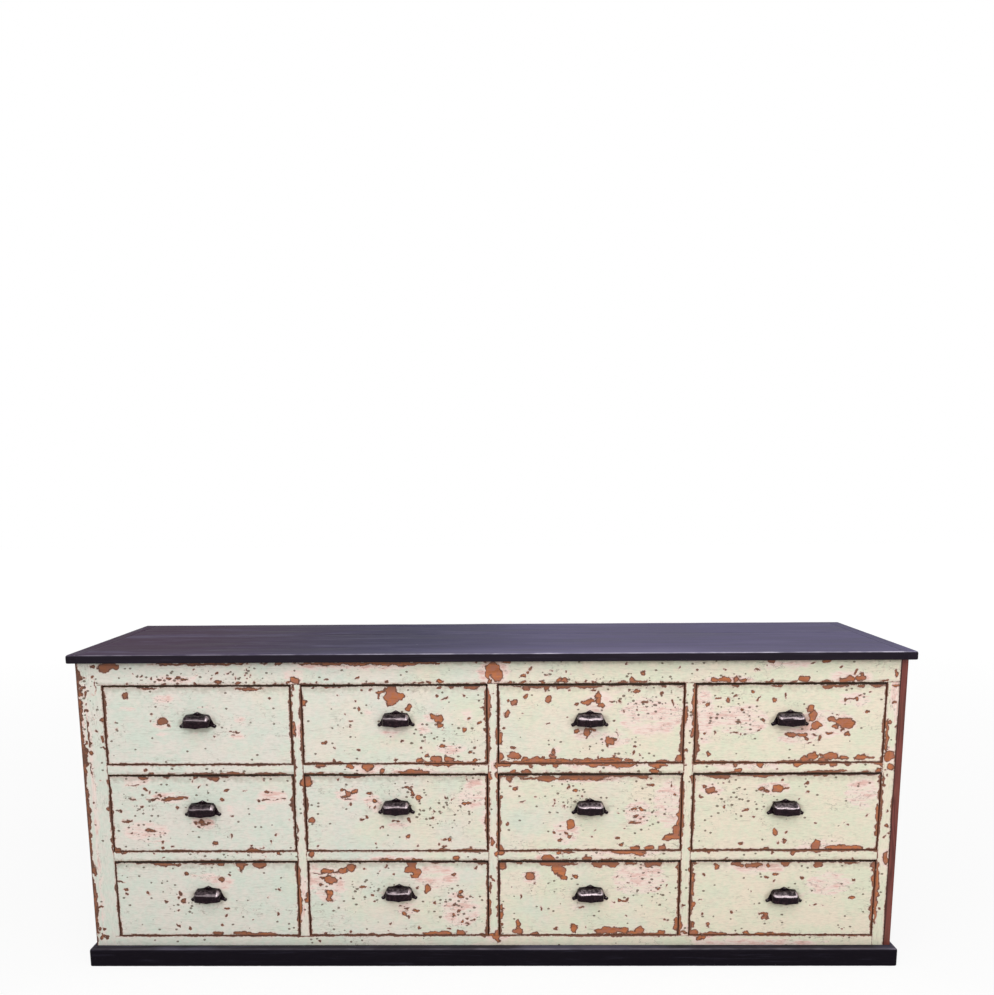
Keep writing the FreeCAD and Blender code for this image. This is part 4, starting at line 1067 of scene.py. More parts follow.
WEAR["r3c2"] = {"chips": [
    (-185, 76, 16, 8), (-122, 85, 14, 11), (-144, 77, 12, 8), (-163, 72, 12, 2),
    (-207, 70, 15, 1.5), (-177, 52, 16, 13), (-194, 58, 10, 3), (-150, 54, 5, 3),
    (-202, 37, 5, 4), (-185, 19, 6, 9), (-177, 16, 6, 8), (-181, 7, 5, 8), (-181, -2, 8, 7),
    (-88, 83, 5, 4), (-31, 91, 3, 5), (-10, 69, 4, 4), (-46, 78, 2, 2), (146, 66, 5, 5),
    (204, 84, 4, 4), (218, 94, 2, 5), (36, 94, 12, 9), (32, 80, 17, 10, 15),
    (48, 73, 14, 11, -20), (43, 62, 12, 6), (76, 26, 9, 13, -25), (51, 30, 2, 5),
    (-92, 33, 8, 4), (163, 18, 5, 5), (161, 6, 9, 5, -20), (96, -12, 4, 3), (-69, 9, 4, 3),
    (-62, -8, 3, 2), (146, -16, 3, 3), (156, -35, 6, 3), (146, -44, 4, 6, 30),
    (180, -55, 5, 3), (165, -63, 4, 4), (195, -59, 6, 3), (178, -69, 7, 3), (55, -81, 4, 4),
    (131, -82, 5, 2), (-22, -69, 5, 3), (-29, -88, 3, 3), (-127, -92, 5, 3),
    (-194, -96, 6, 3), (20, -27, 9, 3), (45, -32, 7, 5), (15, -42, 5, 5), (24, -50, 4, 4),
    (9, -20, 7, 1.5), (-71, -101, 12, 4), (100, -96, 40, 6), (162, -95, 14, 9),
    (218, -100, 20, 3)],
    "rubs": [(-218, 58, 18, 36), (25, -31, 25, 14), (-180, 40, 40, 50), (160, -30, 50, 50),
             (100, 60, 60, 30)],
    "specks": [(160, -30, 60, 50), (-80, 20, 50, 40)]}
WEAR["r3c3"] = {"chips": [
    (-227, 91, 12, 12), (-180, 98, 8, 4), (-91, 96, 36, 6), (-110, 96, 15, 8),
    (-82, 80, 16, 14, -35), (-74, 76, 14, 14), (-71, 66, 6, 6), (-66, 58, 8, 9),
    (-47, 95, 20, 4), (42, 95, 38, 7), (22, 91, 12, 7), (58, 92, 16, 6), (108, 96, 16, 5),
    (165, 95, 26, 7), (156, 91, 10, 6), (-153, 62, 14, 12), (-36, 59, 7, 5, -30),
    (72, 61, 3, 4), (200, 36, 2, 6), (180, 27, 4, 4), (103, 43, 4, 2), (-177, 5, 3, 5),
    (-201, 32, 2, 2), (-140, 43, 2, 2), (-123, -28, 4, 5), (-226, -25, 6, 10),
    (-227, -46, 7, 10), (-228, -70, 4, 4), (-184, -67, 8, 9), (-186, -79, 4, 5),
    (-185, -90, 16, 8), (-141, -98, 12, 5), (-39, -81, 11, 14), (-85, -84, 5, 4),
    (-7, -79, 2, 3), (79, -6, 6, 5), (92, -7, 9, 4), (98, -4, 3, 6), (64, -9, 3, 3),
    (-18, -24, 8, 3), (100, -48, 3, 3), (197, -59, 4, 4), (207, -59, 3, 3),
    (59, -88, 30, 10), (34, -90, 20, 7), (92, -88, 12, 9), (109, -96, 12, 5),
    (134, -88, 14, 11), (118, -95, 15, 6), (190, -95, 10, 9), (165, -99, 20, 4),
    (228, -71, 7, 20), (229, 85, 5, 5)],
    "rubs": [(-25, -24, 20, 4), (-69, -21, 14, 1.5), (72, -18, 20, 8), (-150, 62, 24, 18),
             (130, 50, 70, 40)],
    "specks": [(150, 20, 70, 50)]}
WEAR["r3c4"] = {"chips": [
    (-121, 94, 14, 6), (-107, 91, 8, 4), (-76, 91, 23, 7), (-90, 88, 10, 6), (-38, 90, 6, 6),
    (4, 94, 12, 8), (-171, 88, 7, 10), (91, 93, 13, 9), (-226, 96, 8, 3), (171, 97, 25, 3),
    (231, 91, 10, 8), (236, 63, 7, 35), (237, -24, 8, 50), (-230, 58, 6, 14),
    (-232, 26, 4, 20), (-230, -21, 5, 15), (-229, -71, 6, 8), (-201, 64, 5, 4),
    (-18, 65, 7, 4), (-42, 58, 4, 4), (-20, 48, 4, 3), (51, 55, 6, 3), (-79, 20, 2, 3),
    (181, 51, 7, 3), (181, 2, 8, 4), (86, -17, 4, 3), (75, -20, 2, 2), (109, -21, 4, 1.5),
    (-129, -38, 5, 5), (-205, -43, 5, 4), (-211, -4, 6, 2), (-45, -42, 12, 4),
    (-38, -47, 5, 7), (-41, -54, 9, 4), (-187, -73, 6, 8, -15), (160, -86, 4, 3),
    (-226, -95, 14, 9), (-172, -98, 35, 5), (-32, -100, 60, 5), (-88, -96, 8, 5)],
    "rubs": [(79, 24, 10, 6), (-60, 80, 60, 14), (120, 40, 60, 30)]}
print(sum(len(wear["chips"]) for wear in WEAR.values()), "chips placed on the drawer fronts")

# %% [markdown]
# ### The rails
#
# A rail runs past every column, so its wear is written along the whole counter: X is the
# counter's own, and the height is from the middle of the rail. Drawers that are pushed home
# knock against the rails, so most of their chips lie along an edge.

# %% Wear on the rails
WEAR["top_rail"] = {"chips": [
    (-968, 14, 17, 13), (-955, 19, 20, 9, 8), (-938, 17, 9, 8), (-897, -1, 2, 2),
    (-877, -7, 3, 2), (-849, -14, 4, 3), (-832, -14, 5, 3, -30), (-806, -13, 8, 5),
    (-784, -12, 9, 4), (-768, -14, 7, 3), (-742, 9, 2, 2), (-735, -4, 3, 1.5),
    (-697, -14, 2, 2), (-685, 1, 5, 3, 20), (-656, 1, 5, 3, 30), (-684, -23, 9, 5),
    (-740, -26, 5, 3), (-787, -26, 4, 3), (-819, -28, 6, 2), (-638, -12, 3, 3),
    (-632, -26, 8, 4), (-610, 7, 2, 4), (-614, -4, 3, 2), (-610, -13, 2, 2),
    (-597, -6, 2, 1.5), (-589, -24, 4, 3), (-542, -28, 5, 2), (-912, -26, 3, 3),
    (-823, 20, 3, 2), (-726, 24, 125, 3.5), (-300, 24, 190, 4.5), (-325, 21, 20, 4),
    (-420, 22, 30, 3), (-230, 22, 50, 5), (-566, 24, 7, 3), (-526, 25, 10, 4),
    (-492, -17, 11, 9), (-486, -20, 11, 8), (-505, -24, 6, 4), (-408, -18, 5, 2.5),
    (-434, -24, 3, 3), (-331, -13, 6, 3.5), (-258, -23, 5, 3, 30), (-187, -26, 3, 3),
    (-173, -26, 8, 3), (-125, -23, 10, 4), (-153, -27, 8, 3), (-34, 26, 3, 4),
    (-11, 26, 4, 4), (-392, -28, 5, 2), (-305, -28, 18, 2), (10, 10, 17, 17),
    (20, -10, 15, 14), (-3, 0, 8, 20), (28, -4, 8, 14), (42, 26, 13, 5), (0, -24, 6, 6),
    (85, -10, 7, 4, 15), (97, 0, 5, 5, 50), (104, 8, 5, 5, 40), (155, 4, 5, 1.5, -15),
    (145, -9, 5, 2.5), (191, 1, 3, 1.5), (204, -6, 2, 2), (175, -20, 8, 6),
    (189, -20, 7, 6), (182, -24, 14, 4), (85, -26, 7, 4), (103, -24, 2, 4),
    (132, -26, 7, 4), (50, -28, 4, 3), (218, -28, 3, 3), (240, -25, 4, 4), (262, -26, 4, 4),
    (300, -26, 4, 3), (335, -27, 12, 3), (357, -20, 5, 7), (375, -27, 25, 3),
    (430, -28, 4, 3), (472, -27, 3, 3), (342, 21, 2.5, 2.5), (384, -4, 8, 5, -25),
    (473, 9, 3, 4, -30), (518, 3, 4, 4), (587, 4, 4, 2.5), (667, 2, 6, 3),
    (691, 12, 2.5, 3), (703, 25, 9, 6), (804, 21, 4, 2.5), (839, 25, 11, 6),
    (877, 10, 3.5, 3), (565, -22, 12, 7), (585, -21, 14, 7), (596, -22, 8, 7),
    (615, -22, 7, 7), (633, -23, 11, 5), (706, -25, 5, 4), (700, -28, 15, 3),
    (785, -21, 16, 9), (760, -27, 10, 3), (842, -27, 16, 3), (885, -25, 14, 6),
    (900, -21, 12, 8), (925, -20, 13, 9), (913, -3, 3, 8, -20), (926, -10, 4, 7, -35),
    (981, -27, 12, 3), (1013, -8, 5, 10)],
    "rubs": [(-400, 18, 80, 8), (-270, 15, 70, 8), (745, 14, 50, 9), (10, 0, 40, 30),
             (-490, -10, 24, 20), (600, -22, 60, 10), (900, -18, 50, 14), (-800, -12, 60, 9)],
    "specks": [(-780, -12, 140, 14), (-640, -8, 70, 20), (300, -20, 200, 8)],
    # A band of painted shade along the top edge, in the shadow of the black top.
    "darkening": [(0, 31, 1040, 6)]}
WEAR["cross_rails_upper"] = {"chips": [
    (-880, -1, 4, 3), (-866, -10, 6, 4), (-819, -12, 12, 3), (-740, -12, 40, 4),
    (-660, -11, 32, 5), (-560, -12, 40, 4), (-431, 10, 14, 5), (-356, 8, 10, 7),
    (-312, 8, 18, 10), (-310, 0, 10, 6), (-275, -5, 8, 7), (-128, 12, 38, 4),
    (-110, 9, 10, 5), (-463, -12, 14, 4), (-434, -11, 10, 4), (-379, -12, 8, 4),
    (-339, -12, 7, 4), (-195, -10, 42, 6), (-190, -5, 22, 5), (35, 10, 20, 6),
    (140, 13, 90, 3), (105, 7, 6, 6), (166, 8, 9, 7), (300, 11, 75, 4), (335, 8, 30, 6),
    (265, 9, 20, 5), (425, 9, 25, 6), (425, 3, 8, 5), (60, -8, 8, 6), (92, -8, 13, 5),
    (205, -10, 6, 3), (235, -11, 5, 3), (282, -10, 3, 3), (416, -8, 14, 6),
    (479, -10, 5, 3), (60, -13, 50, 2), (600, 13, 90, 2), (621, 8, 6, 5), (684, 8, 10, 6),
    (779, 10, 12, 7), (845, 13, 45, 4), (868, 7, 10, 6), (906, 10, 6, 5), (985, 12, 12, 6),
    (989, 5, 5, 6), (629, -6, 10, 6), (590, -13, 40, 3), (850, -11, 55, 4),
    (880, -9, 30, 4), (948, -11, 8, 4), (984, -9, 8, 6), (727, -4, 4, 1.5)],
    "rubs": [(300, 8, 120, 9), (-310, 5, 40, 12), (-190, -8, 60, 10), (640, 6, 80, 9)],
    "specks": [(-700, -8, 100, 8), (300, -8, 150, 8)]}
WEAR["cross_rails_lower"] = {"chips": [
    (-952, 9, 6, 5), (-968, 13, 12, 4), (-876, 9, 3, 3), (-850, -4, 3, 2), (-661, 11, 5, 3),
    (-615, 13, 25, 3), (-583, 0, 3, 3), (-548, 8, 5, 5), (-594, -13, 6, 3),
    (-463, 6, 10, 9), (-89, -6, 9, 7), (-258, -10, 32, 4), (-190, -10, 14, 4),
    (-40, -10, 6, 3), (28, 8, 10, 8), (75, 13, 40, 2), (178, 8, 7, 6), (200, 10, 15, 4),
    (355, 10, 45, 6), (380, 5, 20, 5), (147, -7, 16, 10), (142, 0, 8, 5), (248, -7, 13, 6),
    (305, -10, 20, 3), (440, -13, 5, 2), (727, 7, 4, 5), (776, 8, 6, 8), (830, 13, 50, 4),
    (870, 13, 60, 3), (985, 13, 15, 3), (604, -12, 4, 4), (740, -13, 4, 3),
    (932, -11, 5, 5), (906, -13, 5, 3), (560, 12, 30, 3)],
    "rubs": [(350, 8, 90, 9), (147, -4, 30, 14), (-250, -8, 60, 8)],
    "specks": [(300, -6, 150, 8), (-650, 6, 120, 8)]}
WEAR["bottom_rail"] = {"chips": [
    (-671, 24, 3, 3), (-450, 7, 4, 4), (-296, 23, 4, 5), (-198, 23, 4, 4), (-151, 23, 8, 4),
    (-21, 22, 6, 5), (12, 20, 12, 8), (18, 11, 6, 9), (545, 15, 6, 10, -50),
    (556, 17, 8, 6), (530, 25, 12, 4), (650, 26, 80, 3), (840, 27, 60, 2), (960, 26, 20, 3),
    (250, 27, 60, 2), (420, 26, 40, 3)],
    "rubs": [(16, 18, 30, 14), (552, 16, 26, 12), (700, 4, 180, 10)], "specks": [],
    "darkening": [(0, -16, 1000, 5)]}

# %% [markdown]
# ### The upright boards
#
# On an upright board it is the other way round: the height is the counter's own, and X is from
# the middle of the board. Long narrow ellipses give the strips where drawers have rubbed past.

# %% Wear on the upright boards
WEAR["upright_1"] = {"chips": [
    (11, 606, 3, 32), (11, 492, 6, 18), (8, 486, 6, 10), (-6, 738, 4, 8), (-12, 680, 3, 60),
    (-8, 632, 5, 20), (-12, 590, 2, 40), (-12, 490, 2, 26), (11, 400, 3, 9), (8, 171, 8, 6),
    (10, 180, 4, 14), (-10, 366, 3, 13), (-11, 337, 2, 8), (-12, 185, 6, 80), (-8, 172, 4, 26),
    (4, 222, 2, 2)],
    "rubs": [(2, 626, 12, 16), (-6, 180, 14, 60)]}
WEAR["upright_2"] = {"chips": [
    (12, 612, 4, 25), (12, 550, 3, 10), (10, 533, 5, 9), (12, 506, 5, 10), (10, 469, 3, 8),
    (-11, 690, 6, 40), (-12, 600, 3, 60), (-9, 507, 5, 12), (-9, 448, 3, 6),
    (-10, 428, 3, 5), (3, 722, 3, 2), (12, 365, 4, 25), (12, 330, 3, 25), (8, 298, 7, 8),
    (12, 266, 3, 20), (12, 143, 3, 20), (8, 76, 8, 12), (-5, 74, 8, 7), (-3, 331, 6, 12),
    (-1, 228, 4, 6, 30), (-7, 235, 5, 4), (-10, 367, 2, 10), (-9, 205, 3, 17),
    (-10, 155, 4, 26)],
    "rubs": [(6, 533, 12, 14), (-3, 331, 10, 16), (4, 78, 14, 16)]}
WEAR["upright_3"] = {"chips": [
    (11, 700, 5, 35), (10, 650, 4, 25), (9, 618, 5, 12), (12, 549, 4, 12), (12, 495, 4, 12),
    (11, 447, 3, 5), (-8, 572, 3, 4, 30), (-5, 533, 3, 4), (-11, 660, 5, 28),
    (-12, 430, 3, 40), (12, 308, 4, 5), (12, 254, 5, 6), (3, 80, 9, 5), (-12, 370, 4, 45),
    (-11, 100, 5, 30), (-4, 154, 3, 3)],
    "rubs": [(8, 660, 12, 50), (-10, 660, 10, 34), (2, 84, 12, 18)], "specks": [(8, 680, 16, 50)]}
WEAR["stile_left"] = {"chips": [
    (7, 767, 5, 4), (-16, 765, 6, 3), (10, 794, 6, 6), (13, 744, 1.5, 12), (-12, 740, 3, 4),
    (-14, 724, 4, 8), (-12, 597, 5, 4), (-11, 569, 5, 6), (-14, 620, 3, 38), (-14, 527, 2, 16),
    (5, 722, 2, 2), (-14, 680, 3, 3), (-14, 699, 3, 3), (1, 662, 2, 2), (6, 627, 3, 6, 30),
    (9, 497, 2, 2), (-7, 531, 1.5, 1.5), (-14, 438, 5, 3), (-13, 153, 4, 3), (-6, 67, 3, 6),
    (-13, 70, 6, 4), (-13, 91, 4, 3)],
    "rubs": [(-14, 731, 10, 14), (-14, 620, 10, 44), (-14, 400, 7, 300)],
    "specks": [(4, 677, 16, 34), (-10, 730, 16, 30)]}
WEAR["filler_left"] = {"chips": [
    (0, 657, 5, 4), (-1, 607, 5, 9), (0, 584, 3, 4), (4, 495, 5, 8), (2, 421, 5, 7),
    (5, 340, 3, 40), (4, 204, 3, 12)]}
WEAR["stile_right"] = {"chips": [
    (5, 736, 9, 4), (5, 693, 7, 4), (11, 634, 5, 3), (-3, 643, 5, 6), (-10, 610, 5, 42),
    (1, 558, 13, 12), (-4, 548, 9, 9), (6, 525, 8, 10), (-1, 506, 3, 3), (-10, 520, 4, 3),
    (-9, 478, 5, 3), (4, 411, 4, 3), (-12, 450, 3, 60), (4, 412, 4, 2.5), (4, 371, 6, 6),
    (11, 351, 4, 3), (3, 341, 3, 3), (7, 283, 8, 20), (2, 146, 4, 4), (-11, 190, 6, 85),
    (-13, 425, 3, 22)],
    "rubs": [(2, 556, 16, 20), (8, 700, 14, 60), (7, 283, 12, 26)]}
print(sum(len(wear["chips"]) for wear in WEAR.values()), "chips placed in all")

# %% [markdown]
# ## Bare and stained wood
#
# Behind the paint the counter is plain softwood, and the outer sides were stained red-brown and
# varnished. The grain runs along each board. Turning the coordinates in the material is simpler
# than unwrapping each board, so there is one variant of the pine for each direction. Dirt has
# settled where a side meets the face frame, so there the side has a thin dark line.

# %% Bare and stained wood
GRAIN_TURNS = {"x": (0, 1, 2), "y": (1, 2, 0), "z": (2, 0, 1)}


def turned_place(tree, direction):
    """Object coordinates with the grain's direction first."""
    place = tree.add("ShaderNodeTexCoord").outputs["Object"]
    parts = tree.parts(place)
    return place, tree.join(*(parts[number] for number in GRAIN_TURNS[direction]))


STAIN_SPOTS, FLYSPECK = paint_colour(84, 62, 44), paint_colour(58, 42, 32)
JOINT_LINE = paint_colour(46, 24, 20)
WOOD_RELIEF = 0.00022  # metres
JOINT_START, JOINT_END = 0.0016, 0.0036  # metres beyond the joint: dark, and clean


def plain_wood(name, direction, light, dark, contrast, sheen, darkening=0.25, joint_at=None):
    """Wood without paint. Sheen is how much smoother than raw wood it is, darkening how stained.
    Joint_at is how far from the middle of the counter a dirty joint lies, in metres."""
    material, tree, shader = new_material(name)
    place, along = turned_place(tree, direction)
    wood = place_group(tree, WOOD_GRAIN, {
        "Place": along, "Light": light, "Dark": dark, "Contrast": contrast})
    stain = tree.step(tree.noise(place, 7.0, detail=4.0, roughness=0.6), 0.4, 0.7, 0.0, darkening)
    colour = tree.mix(stain, wood["Colour"], STAIN_SPOTS)
    dots = place_group(tree, SPECKS, {
        "Place": place, "Per Metre": 55.0, "More": 0.06, "Largest": 2.2})["Speck"]
    colour = tree.mix(tree.math("MULTIPLY", dots, 0.6), colour, FLYSPECK)
    if joint_at is not None:
        across = tree.math("ABSOLUTE", tree.parts(place)[0])
        joint = tree.step(across, joint_at + JOINT_END, joint_at + JOINT_START, 0.0, 0.75)
        colour = tree.mix(joint, colour, JOINT_LINE)
    tree.feed(shader.inputs["Base Color"], colour)
    tree.feed(shader.inputs["Roughness"], tree.math("SUBTRACT", wood["Roughness"], sheen))
    shader.inputs["Specular IOR Level"].default_value = 0.3
    tree.feed(shader.inputs["Normal"], bump(tree, wood["Height"], WOOD_RELIEF))
    return material


# %% The woods of this counter
PINE_LIGHT, PINE_DARK = paint_colour(196, 160, 112), paint_colour(150, 108, 68)
PINE = {way: plain_wood("old_pine_grain_" + way, way, PINE_LIGHT, PINE_DARK, 0.62, 0.0)
        for way in "xyz"}
STAIN_LIGHT, STAIN_DARK = paint_colour(122, 62, 54), paint_colour(76, 34, 32)
SIDE_INSIDE = round(box_mm("side_right")[0][0] * MM, 4)
STAINED = plain_wood("stained_side", "z", STAIN_LIGHT, STAIN_DARK, 1.0, 0.2, 0.35,
                     joint_at=SIDE_INSIDE)
print("bare wood along", sorted(PINE), "and stained sides, joined at", SIDE_INSIDE, "m")

# %% [markdown]
# ## Black paint
#
# The top and the plinth were brushed with black paint. The faces that look up carry a painted
# sheen, the reflection of the pale room at a low angle: reddish at the left end, bluish further
# right, and palest along the front. One colour at each of those places, mixed by X and Y, gives
# that. Faces that look forward stay black, streaks follow the boards, and the arrises carry a
# painted highlight in patches, where the mesh stores "wear_and_highlight".

# %% Black paint
def black_paint(name, direction, upper_sheen, sides, highlight_and_nick_colour, most):
    """Old black paint: strokes along the board, a painted sheen on top, a painted highlight on the
    arrises. Upper_sheen holds the colours of the sheen on the upper face at the left end, in the
    middle, at the right and along the front, sides is the colour of all other faces,
    highlight_and_nick_colour is that of the highlight and of small nicks, and most says how
    strong the painted highlight is."""
    material, tree, shader = new_material(name)
    place, along = turned_place(tree, direction)
    parts = tree.parts(place)
    facing = tree.parts(tree.add("ShaderNodeNewGeometry").outputs["Normal"])
    upper = tree.step(facing[2], 0.45, 0.97)
    long_streaks = tree.noise(tree.stretch(along, 2.4, 40.0, 40.0), 1.0, detail=5.0,
                              roughness=0.62, distortion=0.4)
    fine_streaks = tree.noise(tree.stretch(along, 8.0, 190.0, 190.0), 1.0, detail=4.0,
                              roughness=0.65)
    clouds = tree.noise(tree.stretch(along, 3.0, 11.0, 11.0), 1.0, detail=5.0, roughness=0.6)
    tone = tree.math("ADD", tree.math("MULTIPLY", long_streaks, 0.55), tree.math(
        "MULTIPLY", clouds, 0.45))
    # Painted sheen on the faces that look up: reddish to the left, bluish to the right, palest
    # along the front.
    painted_sheen = tree.mix(tree.step(parts[0], -0.95, -0.14), upper_sheen[0], upper_sheen[1])
    painted_sheen = tree.mix(tree.step(parts[0], -0.3, 0.3), painted_sheen, upper_sheen[2])
    front_sheen = tree.math("MULTIPLY", tree.step(parts[1], -0.26, -0.14, 0.9, 0.0), tree.step(
        parts[0], -0.45, 0.15, 0.1, 1.0))
    front_sheen = tree.math("MULTIPLY", front_sheen, tree.step(parts[0], 0.45, 0.8, 1.0, 0.4))
    painted_sheen = tree.mix(front_sheen, painted_sheen, upper_sheen[3])
    base = tree.mix(upper, sides, painted_sheen)
    colour = tree.mix(tree.step(tone, 0.36, 0.60, 0.36, 0.0), base, SOOT)
    smears = tree.math("MULTIPLY", tree.step(clouds, 0.50, 0.68), tree.step(
        upper, 0.0, 1.0, 0.0, 0.30))
    colour = tree.mix(smears, colour, DUST_AND_SHEEN_STREAK)
    pale = tree.math("MULTIPLY", tree.step(fine_streaks, 0.54, 0.74), tree.step(
        upper, 0.0, 1.0, 0.06, 0.36))
    colour = tree.mix(pale, colour, DUST_AND_SHEEN_STREAK)
    patches = tree.noise(tree.stretch(along, 14.0, 60.0, 60.0), 1.0, detail=5.0, roughness=0.65)
    # Painted highlight along the arrises, in patches, stronger to the right.
    arris_highlight = tree.math("MULTIPLY", attribute(tree, "wear_and_highlight"), tree.step(
        patches, 0.34, 0.62, 0.3 * most, most))
    arris_highlight = tree.math("MULTIPLY", arris_highlight, tree.step(parts[0], -0.8, 0.3, 0.35, 1.0))
    colour = tree.mix(arris_highlight, colour, highlight_and_nick_colour)
    dots = place_group(tree, SPECKS, {
        "Place": place, "Per Metre": 42.0, "More": 0.04, "Largest": 1.2})["Speck"]
    colour = tree.mix(tree.math("MULTIPLY", dots, 0.3), colour, highlight_and_nick_colour)
    tree.feed(shader.inputs["Base Color"], colour)
    tree.feed(shader.inputs["Roughness"], tree.step(tone, 0.3, 0.7, 0.46, 0.62))
    shader.inputs["Specular IOR Level"].default_value = 0.04
    shader.inputs["Specular Tint"].default_value = paint_colour(206, 190, 240)
    relief = tree.math("ADD", tree.math("MULTIPLY", fine_streaks, 0.6), long_streaks)
    tree.feed(shader.inputs["Normal"], bump(tree, relief, 0.0006))
    return material


# %% The black finishes
# Painted sheen on the faces that look up: on the top at its left end, middle, right end and along
# the front, and on the plinth's ledge. The faces that look forward stay dark.
TOP_SHEEN_COLOURS = (paint_colour(56, 31, 56), paint_colour(53, 50, 78), paint_colour(92, 86, 118),
               paint_colour(110, 104, 136))
SOOT, FRONT_SOOT = paint_colour(21, 18, 23), paint_colour(36, 31, 38)
LEDGE_SHEEN_COLOURS = (paint_colour(48, 44, 50),) * 4
# Streaks of dust and of painted sheen on the faces that look up.
DUST_AND_SHEEN_STREAK = paint_colour(112, 108, 132)
# Painted highlights on the arrises, also the colour of small nicks.
TOP_HIGHLIGHT_AND_NICKS, PLINTH_HIGHLIGHT_AND_NICKS = paint_colour(204, 198, 214), paint_colour(134, 127, 138)
BLACK_TOP = black_paint("black_paint_top", "x", TOP_SHEEN_COLOURS, FRONT_SOOT, TOP_HIGHLIGHT_AND_NICKS, 1.0)
BLACK_ENDS = black_paint("black_paint_end_pieces", "y", TOP_SHEEN_COLOURS, FRONT_SOOT, TOP_HIGHLIGHT_AND_NICKS,
                         0.7)
BLACK_PLINTH = black_paint("black_paint_plinth", "x", LEDGE_SHEEN_COLOURS, SOOT, PLINTH_HIGHLIGHT_AND_NICKS, 0.6)
BLACK_PLINTH_ENDS = black_paint("black_paint_plinth_ends", "y", LEDGE_SHEEN_COLOURS, SOOT,
                                PLINTH_HIGHLIGHT_AND_NICKS, 0.4)
print("black paint for the top, its end pieces, and the plinth")

# %% [markdown]
# ## The lacquered castings
#
# A cup pull is cast iron under a brown-black lacquer. Fingers have worn the lacquer off the front
# of its crown, where a narrow bright band runs from end to end: worn metal, which reflects the
# room, and a painted highlight in its colour. The band is found by the slope of the surface, not
# by its place, so one material serves all twelve pulls. It is stronger to the right, where the
# light comes from, and clouds of noise break it up. Above the band lies a dull painted sheen, and
# the right-hand end of the crown has a painted highlight too.

# %% The lacquered castings
def lacquered_casting():
    """Brown-black lacquer over cast iron. Hands have polished the front of the crown, and it also
    carries a painted highlight.
    """
    material, tree, shader = new_material("lacquered_casting")
    place = tree.add("ShaderNodeTexCoord").outputs["Object"]
    facing = tree.parts(tree.add("ShaderNodeNewGeometry").outputs["Normal"])
    parts = tree.parts(place)
    cloud = tree.noise(place, 140.0, detail=4.0, roughness=0.6)
    fine = tree.noise(place, 900.0, detail=2.0)
    smear = tree.swing(tree.stretch(place, 45.0, 160.0, 160.0), 1.0, 0.14, detail=3.0)
    # The band on the crown is found by its slope: worn metal and a painted highlight, stronger to
    # the right. Above it lies a dull painted sheen, and a painted highlight on the right-hand end.
    slope = tree.math("ADD", facing[2], smear)
    band = tree.math("MULTIPLY", tree.step(slope, 0.32, 0.42), tree.step(slope, 0.64, 0.50))
    crown_sheen = tree.math("MULTIPLY", tree.step(slope, 0.5, 0.7), tree.step(
        cloud, 0.42, 0.62, 0.04, 0.30))
    corner = tree.math("MULTIPLY", tree.step(facing[0], 0.04, 0.22), tree.step(slope, 0.28, 0.45))
    crown_sheen = tree.math("MULTIPLY", crown_sheen, tree.step(parts[0], -0.5, 0.3, 0.35, 1.0))
    from_right = tree.step(parts[0], -0.7, 0.3, 0.40, 0.85)
    painted_highlight = tree.math("MAXIMUM", tree.math("MULTIPLY", band, from_right), crown_sheen)
    painted_highlight = tree.math("MAXIMUM", painted_highlight, corner)
    painted_highlight = tree.math("MULTIPLY", painted_highlight, tree.step(facing[1], -0.15, -0.45))
    painted_highlight = tree.math("MULTIPLY", painted_highlight, tree.step(cloud, 0.30, 0.52, 0.55, 1.0))
    colour = tree.mix(tree.step(cloud, 0.4, 0.66), LACQUER_DARK, LACQUER_BROWN)
    dots = place_group(tree, SPECKS, {
        "Place": place, "Per Metre": 260.0, "More": 0.10, "Largest": 0.5})["Speck"]
    colour = tree.mix(tree.math("MULTIPLY", dots, 0.3), colour, LACQUER_NICK)
    colour = tree.mix(painted_highlight, colour, POLISHED_IRON_AND_HIGHLIGHT)
    tree.feed(shader.inputs["Base Color"], colour)
    tree.feed(shader.inputs["Metallic"], tree.math("MULTIPLY", painted_highlight, 0.85))
    tree.feed(shader.inputs["Roughness"], tree.step(cloud, 0.3, 0.7, 0.16, 0.30))
    shader.inputs["Specular IOR Level"].default_value = 0.16
    shader.inputs["Specular Tint"].default_value = paint_colour(255, 225, 236)
    tree.feed(shader.inputs["Normal"], bump(tree, fine, 0.00010))
    return material


LACQUER_DARK, LACQUER_BROWN = paint_colour(16, 9, 14), paint_colour(34, 21, 26)
# The worn iron of the crown, whose bright colour also paints its highlight.
LACQUER_NICK, POLISHED_IRON_AND_HIGHLIGHT = paint_colour(110, 88, 84), paint_colour(178, 164, 168)
CASTING = lacquered_casting()
print("finishes:", [material.name for material in bpy.data.materials])

# %% [markdown]
# ## Drawer fronts
#
# Each front is a painted board whose ends are cut for the drawer sides. The joint is a lapped
# dovetail: the sides' tails end short of the face, so from the front none of it shows, and with
# the drawer open the pins of the front stand between the tails. The painted face is one grid, and
# the rest of the front is plain blocks of raw wood behind it.

# %% How worn the edges of the fronts are
# How wide the left, right, bottom and top edge of each front is worn
FRONT_EDGES = {
    "r1c1": (2.8, 5.2, 1.5, 1.2), "r1c2": (3.0, 6.2, 3.0, 2.0), "r1c3": (3.2, 4.2, 3.2, 2.8),
    "r1c4": (5.0, 3.8, 3.0, 2.5), "r2c1": (4.2, 4.5, 2.0, 2.2), "r2c2": (3.0, 5.2, 2.2, 2.5),
    "r2c3": (4.0, 5.2, 2.8, 3.2), "r2c4": (4.0, 5.0, 2.8, 2.8), "r3c1": (3.2, 5.0, 2.2, 2.8),
    "r3c2": (4.2, 5.8, 2.8, 2.2), "r3c3": (4.0, 4.2, 3.0, 2.8), "r3c4": (5.5, 6.2, 2.8, 2.8)}
print("edges worn up to", max(max(edges) for edges in FRONT_EDGES.values()), "mm wide")

